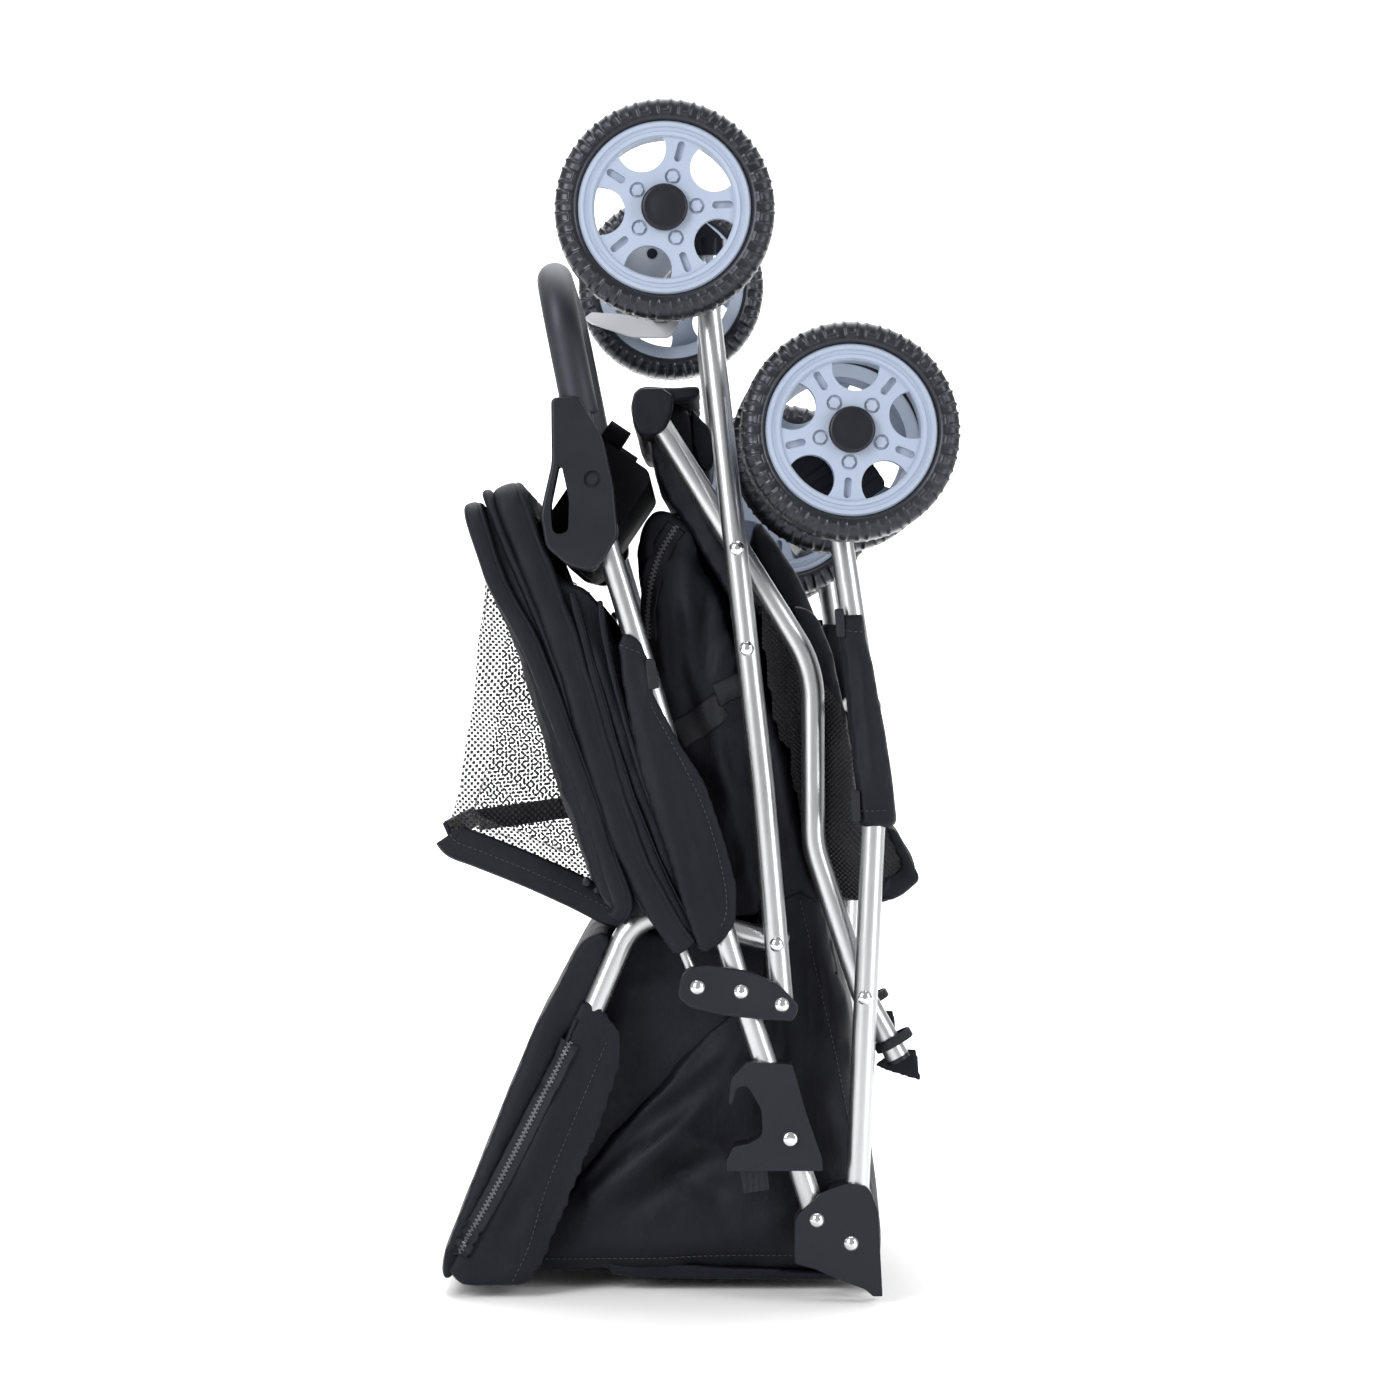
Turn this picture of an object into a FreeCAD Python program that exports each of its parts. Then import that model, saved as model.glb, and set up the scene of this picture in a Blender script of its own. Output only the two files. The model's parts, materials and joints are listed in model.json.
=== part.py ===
import FreeCAD, Part
import math
import os

# Folding pet stroller, modelled folded and standing on its knuckles and front bar.
# Millimetres. +Z is up, -Y is the left side of the stroller, the two sides mirror in Y = 0.

V = FreeCAD.Vector

# ---------------------------------------------------------------- driving dimensions
TUBE_R = 8.25            # frame tube radius
TUBE_WALL = 1.2
LEG_Y = 162.0            # plane of the legs and handle tubes, each side
RAIL_Y = 144.5           # plane of the basket rails and cabin rim, each side
WHEEL_R = 75.0
WHEEL_W = 34.0
WHEEL_Y = 208.0          # plane of the outer wheels, each side
RIM_R = 58.2
AXLE_R = 4.0
RUN = 0.05               # radial running clearance of pins in holes
RIVET_R = 3.0
RIVET_HEAD_R = 5.0
RIVET_HEAD_H = 2.6
PLATE_T = 5.0            # moulded plate thickness
SHELL_T = 4.0            # wall of the knuckle and lock slider
CLOTH_T = 3.0            # thickness of the plain fabric walls

# pivots in the side view, (x, z)
KNUCKLE_PIVOT = (83.0, 52.0)
KNUCKLE_RIVET = (106.5, 36.0)
SLIDER_RIVET = (64.7, 108.0)
HOOP_PIVOT = (1.0, 212.0)
PLATE_RIVET = (31.0, 209.0)
REAR_LEG_PIVOT = (59.0, 200.0)
RIM_PIVOT = (55.5, 241.0)
RAIL_REAR_PIVOT = (28.0, 513.5)
RAIL_FRONT_PIVOT = (116.0, 204.5)
REAR_AXLE = (-21.0, 740.0)
BRAKE_PIVOT = (-30.0, 714.0)
HOUSING_SCREW = (-71.0, 560.5)

# front caster: stem point level with the axle, stem direction, trail and wheel spacing
CASTER_STEM = (81.0, 574.0)
CASTER_UP = (0.578, -0.816)
CASTER_TRAIL = 25.0
CASTER_HALF = 46.0
CASTER_YAW = {-1: -4.0, 1: 173.5}
CASTER_SPIN = {-1: 14.7, 1: 50.0}    # resting spoke angle of each twin pair
CASTER_TOP = 44.0        # top of the swivelling yoke above the axle
STEM_R = 5.0

# centre lines in the side view, (x, z)
HANDLE_LINE = [(85.5, 44.4), (31.0, 209.0), (-74.6, 560.5)]
FRONT_LEG_LINE = [(109.3, 27.5), (124.0, 362.0), (95.0, 554.0)]
REAR_LEG_LINE = [(59.7, 192.0), (46.0, 350.0), (8.7, 678.0), (8.7, 724.0)]
RAIL_LINE = [(-28.6, 605.5), (81.0, 432.0), (81.5, 308.0), (116.0, 204.5), (140.0, 161.0)]
RAIL_RADII = [80.0, 70.0, 60.0]
RIM_LINE = [(63.5, 239.0), (-41.0, 266.0), (-146.0, 18.5)]
GRIP_LINE = [(-77.5, 596.0), (-99.0, 703.5)]

SIDES = {"left": -1, "right": 1}
ORIGIN = V(1.03, 0.81, 0.0)    # middle of the footprint, at floor level


# ---------------------------------------------------------------- small helpers
def point(xz, y=0.0):
    return V(xz[0], y, xz[1])


def save(shape, name):
    moved = shape.copy()
    moved.translate(V(0, 0, 0) - ORIGIN)
    moved.exportStep("parts/" + name + ".step")


def corner_arc(before, corner, after, radius):
    """Tangent points and middle point of the arc that rounds one corner of a path."""
    to_before = (before - corner).normalize()
    to_after = (after - corner).normalize()
    half = to_before.getAngle(to_after) / 2
    reach = radius / math.tan(half)
    middle = (to_before + to_after).normalize() * (radius / math.sin(half) - radius)
    return corner + to_before * reach, corner + middle, corner + to_after * reach


def rounded_path(points, radii):
    """Wire of straight runs and tangent arcs; radii holds one value per inner point."""
    edges = []
    start = points[0]
    for before, corner, after, radius in zip(points, points[1:], points[2:], radii):
        first, middle, last = corner_arc(before, corner, after, radius)
        edges.append(Part.LineSegment(start, first).toShape())
        edges.append(Part.Arc(first, middle, last).toShape())
        start = last
    edges.append(Part.LineSegment(start, points[-1]).toShape())
    return Part.Wire(edges)


def sweep(path, points, radius):
    circle = Part.Circle(points[0], points[1] - points[0], radius)
    profile = Part.Wire([circle.toShape()])
    return path.makePipeShell([profile], True, True)


def rod(points, radii, radius):
    """Solid round bar along a rounded path."""
    return sweep(rounded_path(points, radii), points, radius)


def tube(points, radii, radius=TUBE_R, wall=TUBE_WALL):
    """Hollow tube along a rounded path, open at both ends."""
    return rod(points, radii, radius).cut(rod(points, radii, radius - wall))


def pin(xz, y0, y1, radius):
    """Cylinder across the stroller between two Y planes."""
    low, high = min(y0, y1), max(y0, y1)
    return Part.makeCylinder(radius, high - low, point(xz, low), V(0, 1, 0))


def outline(corners, radius):
    """Closed wire in the side plane with every corner rounded; radius may be a list."""
    points = [point(c) for c in corners]
    count = len(points)
    radii = radius if isinstance(radius, list) else [radius] * count
    spans = []
    for i in range(count):
        spans.append(corner_arc(points[i - 1], points[i], points[(i + 1) % count], radii[i]))
    edges = []
    for i, (first, middle, last) in enumerate(spans):
        edges.append(Part.Arc(first, middle, last).toShape())
        nxt = spans[(i + 1) % count][0]
        if (nxt - last).Length > 1e-6:
            edges.append(Part.LineSegment(last, nxt).toShape())
    return Part.Wire(edges)


def slab(corners, radius, y0, y1):
    """Side-view outline made solid between two Y planes."""
    low, high = min(y0, y1), max(y0, y1)
    face = Part.Face(outline(corners, radius))
    body = face.extrude(V(0, high - low, 0))
    body.translate(V(0, low, 0))
    return body


def spin_profile(points, centre, direction):
    """Solid of revolution: (radius, along) points turned about an axis through centre."""
    wire = Part.makePolygon([V(r, 0, a) for r, a in points] + [V(points[0][0], 0, points[0][1])])
    solid = Part.Face(wire).revolve(V(0, 0, 0), V(0, 0, 1), 360)
    turn = FreeCAD.Rotation(V(0, 0, 1), direction)
    solid.Placement = FreeCAD.Placement(centre, turn)
    return solid


def dome(xz, y, outward, radius=RIVET_HEAD_R, height=RIVET_HEAD_H):
    """Domed head standing on the plane Y = y."""
    ball = (radius * radius + height * height) / (2 * height)
    profile = Part.Wire([
        Part.LineSegment(V(0, 0, 0), V(radius, 0, 0)).toShape(),
        Part.Arc(V(radius, 0, 0), arc_middle(radius, height, ball), V(0, 0, height)).toShape(),
        Part.LineSegment(V(0, 0, height), V(0, 0, 0)).toShape(),
    ])
    solid = Part.Face(profile).revolve(V(0, 0, 0), V(0, 0, 1), 360)
    turn = FreeCAD.Rotation(V(0, 0, 1), V(0, outward, 0))
    solid.Placement = FreeCAD.Placement(point(xz, y), turn)
    return solid


def arc_middle(radius, height, ball):
    angle = math.asin(radius / ball) / 2
    return V(ball * math.sin(angle), 0, ball * math.cos(angle) - (ball - height))


def rivet(xz, side, outer, inner, radius=RIVET_R):
    """Through rivet with a domed head at each end; outer and inner are distances from Y = 0."""
    shank = pin(xz, side * outer, side * inner, radius)
    heads = dome(xz, side * outer, side).fuse(dome(xz, side * inner, -side))
    return shank.fuse(heads).removeSplitter()


def hole(xz, side, radius=RIVET_R + RUN):
    """Cutter for a rivet hole right through one side of the frame."""
    return pin(xz, side * 120, side * 200, radius)


def mirror_side(shape):
    return shape.mirror(V(0, 0, 0), V(0, 1, 0))


# ---------------------------------------------------------------- frame tubes
def side_points(line, y):
    return [point(p, y) for p in line]


def front_leg(side):
    leg = tube(side_points(FRONT_LEG_LINE, side * LEG_Y), [150.0])
    leg = leg.cut(hole(KNUCKLE_RIVET, side)).cut(hole(RAIL_FRONT_PIVOT, side))
    # socket for the crossbar that ties the two legs
    return leg.cut(crossbar_core(side))


CROSSBAR = (121.0, 405.0)
CROSSBAR_R = 7.0


def crossbar_core(side):
    return pin(CROSSBAR, side * (LEG_Y - 4), side * 120, CROSSBAR_R)


def front_crossbar():
    reach = LEG_Y - 4
    bar = pin(CROSSBAR, -reach, reach, CROSSBAR_R)
    return bar.cut(pin(CROSSBAR, -reach, reach, CROSSBAR_R - TUBE_WALL))


def handle_tube(side):
    body = tube(side_points(HANDLE_LINE, side * LEG_Y), [600.0])
    body = body.cut(hole(KNUCKLE_PIVOT, side)).cut(hole(PLATE_RIVET, side))
    return body.cut(slider_slot(side))


SLOT_TRAVEL = 20.0       # sliding stroke of the lock slider along the handle tube
SLOT_GAP = 0.4           # play between the slider's rivet and the sides of its slot


def handle_direction():
    low, high = point(HANDLE_LINE[0]), point(HANDLE_LINE[1])
    return (high - low).normalize()


def slider_slot(side):
    """Slot in the handle tube that the lock slider's rivet runs in."""
    half = RIVET_R + SLOT_GAP
    run = handle_direction()
    across = V(run.z, 0, -run.x) * half
    start = point(SLIDER_RIVET, side * (LEG_Y - 20))
    end = start + run * SLOT_TRAVEL
    corners = [start - across, start + across, end + across, end - across, start - across]
    depth = V(0, side * 40, 0)
    cutter = Part.Face(Part.makePolygon(corners)).extrude(depth)
    for centre in (start, end):
        cutter = cutter.fuse(Part.makeCylinder(half, 40, centre, V(0, side, 0)))
    return cutter


def rear_leg(side):
    leg = tube(side_points(REAR_LEG_LINE, side * LEG_Y), [500.0, 90.0])
    for pivot in (REAR_LEG_PIVOT, RIM_PIVOT, RAIL_REAR_PIVOT, UPPER_RIVET):
        leg = leg.cut(hole(pivot, side))
    return leg


UPPER_RIVET = (34.8, 444.5)


def rail_side(side):
    """One basket rail: straight rear run, bend, vertical run and the tip past the front pivot."""
    line = [(RAIL_LINE[0][0] + 4.0, RAIL_LINE[0][1] - 6.4)] + RAIL_LINE[1:]
    rail = tube(side_points(line, side * RAIL_Y), RAIL_RADII)
    rail = rail.cut(hole(RAIL_REAR_PIVOT, side)).cut(hole(RAIL_FRONT_PIVOT, side))
    return rail.cut(rail_crossbar_solid())


def rail_crossbar_solid():
    return pin(RAIL_LINE[0], -(RAIL_Y + TUBE_R), RAIL_Y + TUBE_R, TUBE_R)


def rail_crossbar():
    reach = RAIL_Y + TUBE_R
    return rail_crossbar_solid().cut(pin(RAIL_LINE[0], -reach, reach, TUBE_R - TUBE_WALL))


def rim_points():
    left = side_points(RIM_LINE, -RAIL_Y)
    right = side_points(RIM_LINE, RAIL_Y)
    return left + right[::-1]


RIM_RADII = [34.0, 45.0, 45.0, 34.0]


def cabin_rim_tube():
    rim = tube(rim_points(), RIM_RADII)
    for side in SIDES.values():
        rim = rim.cut(hole(RIM_PIVOT, side))
    return rim


# ---------------------------------------------------------------- pivots and plastics
KNUCKLE_OUTLINE = [(68.0, 22.6), (68.0, 54.0), (86.0, 71.0), (105.0, 78.0), (119.0, 75.0),
                   (125.0, 58.0), (128.0, 0.0), (121.5, 0.0), (116.0, 4.8), (100.0, 10.6),
                   (82.0, 18.6)]
KNUCKLE_RADII = [2.0, 14.0, 30.0, 20.0, 10.0, 20.0, 0.8, 0.8, 12.0, 30.0, 14.0]


def knuckle(side):
    """Housing at the folding joint: two walls joined by a web above and behind the front leg."""
    outer = LEG_Y + TUBE_R + 0.3 + SHELL_T
    inner = LEG_Y - TUBE_R - 0.3 - SHELL_T
    block = slab(KNUCKLE_OUTLINE, KNUCKLE_RADII, side * outer, side * inner)
    room = slab([(40, -20), (40, 90), (88.0, 78.0), (95.0, 66.0), (121.5, 64.0), (122.5, 34.0),
                 (140, 34.0), (140, -20)], 1.5, side * (LEG_Y + TUBE_R + 0.3),
                side * (LEG_Y - TUBE_R - 0.3))
    block = block.cut(room)
    leg_room = rod(side_points(FRONT_LEG_LINE, side * LEG_Y), [150.0], TUBE_R)
    block = block.cut(leg_room)
    for xz in (KNUCKLE_PIVOT, KNUCKLE_RIVET):
        block = block.cut(hole(xz, side))
    return block


PIVOT_PLATE_OUTLINE = [(-13.0, 205.0), (-9.0, 225.0), (8.0, 227.5), (37.0, 223.0), (57.0, 214.0),
                       (71.0, 199.0), (67.0, 188.5), (50.0, 189.5), (18.0, 192.5), (-4.0, 198.0)]


def pivot_plate(side):
    """Three-hole plate that carries the canopy hoop, the handle tube and the rear leg."""
    base = LEG_Y + TUBE_R
    radii = [8.0, 9.0, 20.0, 50.0, 20.0, 6.5, 5.5, 40.0, 60.0, 9.0]
    plate = slab(PIVOT_PLATE_OUTLINE, radii, side * (base + 0.2), side * (base + PLATE_T))
    face = [e for e in plate.Edges if abs(abs(e.BoundBox.YMin) - base - PLATE_T) < 0.01
            and e.BoundBox.YLength < 0.01]
    plate = plate.makeFillet(1.4, face)
    for xz in (HOOP_PIVOT, PLATE_RIVET, REAR_LEG_PIVOT):
        plate = plate.cut(hole(xz, side))
    return plate


SLIDER_OUTLINE = [(35.0, 161.0), (66.0, 159.0), (76.0, 124.0), (86.5, 94.0), (87.0, 86.0),
                  (21.0, 86.0), (21.0, 93.0), (25.5, 102.5), (36.0, 104.5), (46.0, 110.0),
                  (45.0, 128.0), (35.0, 145.5), (27.5, 142.5), (24.6, 131.0), (22.4, 132.5),
                  (24.0, 149.0)]
SLIDER_RADII = [4.0, 2.0, 30.0, 2.0, 1.2, 1.2, 3.0, 3.5, 4.0, 8.0, 12.0, 5.0, 3.0, 0.8, 0.8, 9.0]
TONGUE_OUTLINE = [(30.0, 86.0), (49.0, 86.0), (50.5, 72.0), (33.0, 69.5)]


def lock_slider(side):
    """Finger-pull that slides on the handle tube; its ribbed tongue latches in the knuckle."""
    half = TUBE_R + 0.3 + SHELL_T
    body = slab(SLIDER_OUTLINE, SLIDER_RADII, side * (LEG_Y + half), side * (LEG_Y - half))
    bore = rod(side_points(HANDLE_LINE, side * LEG_Y), [600.0], TUBE_R + 0.1)
    body = body.cut(bore).cut(hole(SLIDER_RIVET, side, RIVET_R))
    tongue = slab(TONGUE_OUTLINE, 1.0, side * (LEG_Y + 5), side * (LEG_Y - 5))
    for rib in range(4):
        x = 34.0 + rib * 4.2
        groove = slab([(x, 90), (x + 1.6, 90), (x + 2.6, 66), (x + 1.0, 66)], 0.2,
                      side * (LEG_Y + 6), side * (LEG_Y + 4.2))
        tongue = tongue.cut(groove)
    body = body.fuse(tongue)
    shank = pin(SLIDER_RIVET, side * (LEG_Y + half), side * (LEG_Y - half), RIVET_R)
    caps = dome(SLIDER_RIVET, side * (LEG_Y + half), side)
    caps = caps.fuse(dome(SLIDER_RIVET, side * (LEG_Y - half), -side))
    return body.fuse(shank).fuse(caps).removeSplitter()


HOUSING_OUTLINE = [(-99.5, 616.5), (-81.0, 618.0), (-64.0, 590.0), (-56.5, 556.0), (-53.5, 522.0),
                   (-62.0, 507.0), (-71.0, 497.0), (-88.0, 501.0), (-103.0, 514.0),
                   (-107.0, 536.0), (-99.0, 572.0)]
FINGER_OUTLINE = [(-93.5, 576.0), (-87.0, 546.0), (-87.6, 524.0), (-98.5, 522.0), (-100.0, 544.0)]


def handle_housing(side):
    """Moulded joint between the handle tube and the grip, with a teardrop finger opening."""
    half = TUBE_R + 6.5
    radii = [4.0, 6.0, 40.0, 60.0, 14.0, 10.0, 8.0, 14.0, 12.0, 20.0, 40.0]
    body = slab(HOUSING_OUTLINE, radii, side * (LEG_Y + half), side * (LEG_Y - half))
    rims = [e for e in body.Edges if e.BoundBox.YLength < 0.01]
    body = body.makeFillet(2.2, rims)
    finger = slab(FINGER_OUTLINE, [1.5, 20.0, 5.0, 5.0, 20.0], side * (LEG_Y + 40), side * (LEG_Y - 40))
    body = body.cut(finger)
    body = body.cut(rod(side_points(HANDLE_LINE, side * LEG_Y), [600.0], TUBE_R))
    body = body.cut(rod(grip_points(), [40.0, 40.0], GRIP_CORE_R))
    body = body.cut(rod(foam_points(), [40.0, 40.0], GRIP_R))
    recess = pin(HOUSING_SCREW, side * (LEG_Y + half), side * (LEG_Y + half - 2.4), 6.0)
    screw = pin(HOUSING_SCREW, side * (LEG_Y + half - 1.0), side * (LEG_Y + half - 3.0), 3.6)
    return body.cut(recess).fuse(screw)


GRIP_CORE_R = 8.0
GRIP_R = 12.4


def grip_points():
    left = side_points(GRIP_LINE, -LEG_Y)
    right = side_points(GRIP_LINE, LEG_Y)
    return left + right[::-1]


def foam_points():
    points = grip_points()
    run = (points[1] - points[0]).normalize()
    points[0] = points[0] + run * 10.0
    run = (points[2] - points[3]).normalize()
    points[3] = points[3] + run * 10.0
    return points


def grip_core():
    return rod(grip_points(), [40.0, 40.0], GRIP_CORE_R).cut(
        rod(grip_points(), [40.0, 40.0], GRIP_CORE_R - TUBE_WALL)).cut(handle_cutter())


def handle_cutter():
    left = rod(side_points(HANDLE_LINE, -LEG_Y), [600.0], TUBE_R)
    return left.fuse(mirror_side(left))


def handle_grip():
    """Foam sleeve over the U-shaped grip tube."""
    foam = rod(foam_points(), [40.0, 40.0], GRIP_R)
    return foam.cut(rod(grip_points(), [40.0, 40.0], GRIP_CORE_R))


TRAY_CORNER = (-29.0, 566.0)
TRAY_DOWN = (0.829, -0.559)      # towards the tray's underside
TRAY_FORWARD = (-0.559, -0.829)
TRAY_LENGTH = 84.0
TRAY_HEIGHT = 45.0
TRAY_HALF = 145.0
CUP_R = 33.0
CUP_DEPTH = 38.0


def tray_point(forward, up):
    x = TRAY_CORNER[0] + TRAY_FORWARD[0] * forward - TRAY_DOWN[0] * up
    z = TRAY_CORNER[1] + TRAY_FORWARD[1] * forward - TRAY_DOWN[1] * up
    return (x, z)


def parent_tray():
    """Tray between the handle arms with two round cup wells and a shallow well between them."""
    corners = [tray_point(0, 0), tray_point(TRAY_LENGTH, 0),
               tray_point(TRAY_LENGTH, TRAY_HEIGHT), tray_point(0, TRAY_HEIGHT)]
    body = slab(corners, 8.0, -TRAY_HALF, TRAY_HALF)
    inward = V(TRAY_DOWN[0], 0, TRAY_DOWN[1])
    for side in SIDES.values():
        mouth = point(tray_point(TRAY_LENGTH / 2, TRAY_HEIGHT), side * 92)
        body = body.cut(Part.makeCylinder(CUP_R, CUP_DEPTH, mouth, inward))
    well = slab([tray_point(9, 16), tray_point(TRAY_LENGTH - 9, 16),
                 tray_point(TRAY_LENGTH - 9, 60), tray_point(9, 60)], 5.0, -50, 50)
    post = rod([point(tray_point(-7, 31), -120), point(tray_point(-7, 47), -120)], [], 9.0)
    return body.cut(well).fuse(post.fuse(mirror_side(post)))


# ---------------------------------------------------------------- fasteners in groups
def both_sides(maker):
    solids = []
    for side in SIDES.values():
        solids.extend(maker(side))
    return Part.makeCompound(solids)


def front_rivets(side):
    wall_out = LEG_Y + TUBE_R + 0.3 + SHELL_T
    wall_in = LEG_Y - TUBE_R - 0.3 - SHELL_T
    return [rivet(KNUCKLE_PIVOT, side, wall_out, wall_in),
            rivet(KNUCKLE_RIVET, side, wall_out, wall_in),
            rivet(RAIL_FRONT_PIVOT, side, LEG_Y + TUBE_R, RAIL_Y - TUBE_R)]


def handle_rivets(side):
    plate = LEG_Y + TUBE_R + PLATE_T
    return [rivet(HOOP_PIVOT, side, plate, LEG_Y - 4.5),
            rivet(PLATE_RIVET, side, plate, LEG_Y - TUBE_R)]


def rear_rivets(side):
    """Pivot rivets of the rear leg; the rear rail pivot stops short of the rail."""
    leg_out = LEG_Y + TUBE_R
    return [blind_rivet(REAR_LEG_PIVOT, side, leg_out + PLATE_T),
            rivet(RIM_PIVOT, side, leg_out, RAIL_Y - TUBE_R),
            blind_rivet(RAIL_REAR_PIVOT, side, leg_out),
            blind_rivet(UPPER_RIVET, side, leg_out)]


def blind_rivet(xz, side, outer):
    """Rivet with an outer head only, ending just inside the inner face of the leg tube."""
    shank = pin(xz, side * outer, side * (LEG_Y - TUBE_R + 0.2), RIVET_R)
    return shank.fuse(dome(xz, side * outer, side))


def rail_plugs(side):
    """End plugs of the basket rails and the inner rivets of the rear rail pivot."""
    tip, before = point(RAIL_LINE[-1], side * RAIL_Y), point(RAIL_LINE[-2], side * RAIL_Y)
    run = (tip - before).normalize()
    plug = Part.makeCylinder(TUBE_R, 3.0, tip, run)
    plug = plug.fuse(Part.makeCylinder(TUBE_R - TUBE_WALL, 10.0, tip - run * 10.0, run))
    stud = pin(RAIL_REAR_PIVOT, side * (RAIL_Y - TUBE_R), side * (RAIL_Y + TUBE_R - 0.6), RIVET_R)
    return [plug.removeSplitter(), stud.fuse(dome(RAIL_REAR_PIVOT, side * (RAIL_Y - TUBE_R), -side))]


# ---------------------------------------------------------------- wheels
def tyre_shape():
    """Tyre about local Z, outer face towards +Z, with rounded shoulders."""
    half = WHEEL_W / 2
    profile = [(RIM_R, -13.0), (63.0, -half + 0.8), (68.0, -half), (71.0, -half + 1.2),
               (73.6, -half + 4.0), (WHEEL_R, -half + 8.5), (WHEEL_R, half - 8.5),
               (73.6, half - 4.0), (71.0, half - 1.2), (68.0, half), (63.0, half - 0.8),
               (RIM_R, 13.0)]
    return spin_profile(profile, V(0, 0, 0), V(0, 0, 1))


WINDOW_RING_R = 47.3
SPOKES = 5


def rim_shape():
    """Five-spoke moulded rim about local Z, outer face towards +Z."""
    profile = [(AXLE_R + RUN, -16.0), (13.0, -16.0), (13.0, 4.5), (WINDOW_RING_R, 5.5),
               (WINDOW_RING_R + 1.5, -13.0), (RIM_R, -13.0), (RIM_R, 13.0), (57.0, 14.6),
               (54.6, 14.8), (53.6, 13.4), (51.6, 13.4), (50.8, 14.6), (48.6, 14.2),
               (WINDOW_RING_R, 12.0), (15.4, 13.0), (15.4, 17.0), (14.0, 18.5), (0.0, 19.2),
               (0.0, 12.0), (AXLE_R + RUN, 12.0)]
    rim = spin_profile(profile, V(0, 0, 0), V(0, 0, 1))
    for i in range(SPOKES):
        spoke = math.radians(360.0 / SPOKES * i)
        gap = spoke + math.pi / SPOKES
        window = Part.makeCylinder(16.2, 60, V(43 * math.cos(gap), 43 * math.sin(gap), -30))
        window = window.common(Part.makeCylinder(WINDOW_RING_R, 60, V(0, 0, -30)))
        rim = rim.cut(window).cut(spoke_slot(spoke)).cut(bolt_recess(spoke))
    return rim


def spoke_slot(angle):
    """Shallow rounded slot sunk in the face of one spoke."""
    ends = []
    for radius in (34.5, 43.5):
        centre = V(radius * math.cos(angle), radius * math.sin(angle), 9.0)
        ends.append(Part.makeCylinder(2.5, 10, centre))
    bar = Part.makeBox(9.0, 5.0, 10.0, V(34.5, -2.5, 9.0))
    bar.rotate(V(0, 0, 0), V(0, 0, 1), math.degrees(angle))
    return ends[0].fuse(ends[1]).fuse(bar)


def bolt_recess(angle):
    """Ring-shaped recess that leaves a hexagon bolt head standing in it."""
    centre = V(21.6 * math.cos(angle), 21.6 * math.sin(angle), 11.0)
    ring = Part.makeCylinder(5.4, 6.0, centre)
    corners = []
    for k in range(7):
        turn = math.radians(60 * k)
        corners.append(centre + V(4.0 * math.cos(turn), 4.0 * math.sin(turn), -1))
    bolt = Part.Face(Part.makePolygon(corners)).extrude(V(0, 0, 8))
    return ring.cut(bolt)


def place(shape, placement):
    copy = shape.copy()
    copy.Placement = placement.multiply(copy.Placement)
    return copy


def rear_wheel_place(side, turn):
    facing = FreeCAD.Rotation(V(0, 0, 1), V(0, side, 0))
    spin = FreeCAD.Rotation(V(0, 0, 1), turn)
    return FreeCAD.Placement(point(REAR_AXLE, side * WHEEL_Y), facing.multiply(spin))


# ---------------------------------------------------------------- front casters
def caster_place(side, yaw):
    """Local X forward, local Z up the stem, origin on the stem level with the axle."""
    up = V(CASTER_UP[0], 0, CASTER_UP[1])
    forward = V(-CASTER_UP[1], 0, CASTER_UP[0])
    base = FreeCAD.Rotation(forward, V(0, -1, 0), up, "ZXY")
    turn = FreeCAD.Rotation(V(0, 0, 1), yaw)
    return FreeCAD.Placement(point(CASTER_STEM, side * LEG_Y), base.multiply(turn))


def caster_yoke_shape():
    """Swivelling body between the twin wheels, with both axle stubs and moulded ribs."""
    corners = [(-18, -12), (-18, CASTER_TOP), (29, CASTER_TOP), (30, 4), (22, -16), (2, -18)]
    half = 21.5
    body = slab(corners, [9.0, 5.0, 6.0, 9.0, 8.0, 9.0], -half, half)
    for level in (6.0, 13.0, 20.0, 27.0, 34.0):
        groove = Part.makeBox(70, 1.6, 1.4, V(-30, -half, level))
        body = body.cut(groove)
        groove.translate(V(0, 2 * half - 1.6, 0))
        body = body.cut(groove)
    body = body.cut(Part.makeCylinder(STEM_R + RUN, 60, V(0, 0, 2)))
    reach = CASTER_HALF + 11.0
    stubs = Part.makeCylinder(AXLE_R, 2 * reach, V(CASTER_TRAIL, -reach, 0), V(0, 1, 0))
    collar = Part.makeCylinder(9.0, 2 * (CASTER_HALF - 17.0), V(CASTER_TRAIL, -(CASTER_HALF - 17.0), 0),
                               V(0, 1, 0))
    return body.fuse(collar).fuse(stubs).removeSplitter()


def caster_head(side):
    """Fixed plug on the end of the front leg that holds the caster stem."""
    flat = caster_place(side, 0.0)
    head = Part.makeCylinder(18.0, 14.0, V(0, 0, CASTER_TOP + 0.5))
    head = place(head, flat)
    socket = leg_end_rod(side, TUBE_R + 2.2, 24.0)
    head = head.fuse(socket)
    below = Part.makeBox(200, 200, 120, V(-100, -100, CASTER_TOP + 0.5 - 120))
    head = head.cut(place(below, flat))
    head = head.cut(rod(side_points(FRONT_LEG_LINE, side * LEG_Y), [150.0], TUBE_R))
    return head.cut(place(Part.makeCylinder(STEM_R, 8.0, V(0, 0, CASTER_TOP)), flat))


def leg_end_rod(side, radius, length):
    tip = point(FRONT_LEG_LINE[2], side * LEG_Y)
    bend = point(FRONT_LEG_LINE[1], side * LEG_Y)
    run = (tip - bend).normalize()
    return Part.makeCylinder(radius, length + 6.0, tip - run * length, run)


def front_leg_end_trim(side):
    """Space kept by the stem under the slanted end of the front leg."""
    flat = caster_place(side, 0.0)
    return place(Part.makeBox(200, 200, 120, V(-100, -100, CASTER_TOP + 8.0 - 120)), flat)


def caster_stem(side):
    return [place(Part.makeCylinder(STEM_R, CASTER_TOP + 7.5 - 3.0, V(0, 0, 3.0)),
                  caster_place(side, 0.0))]


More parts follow.
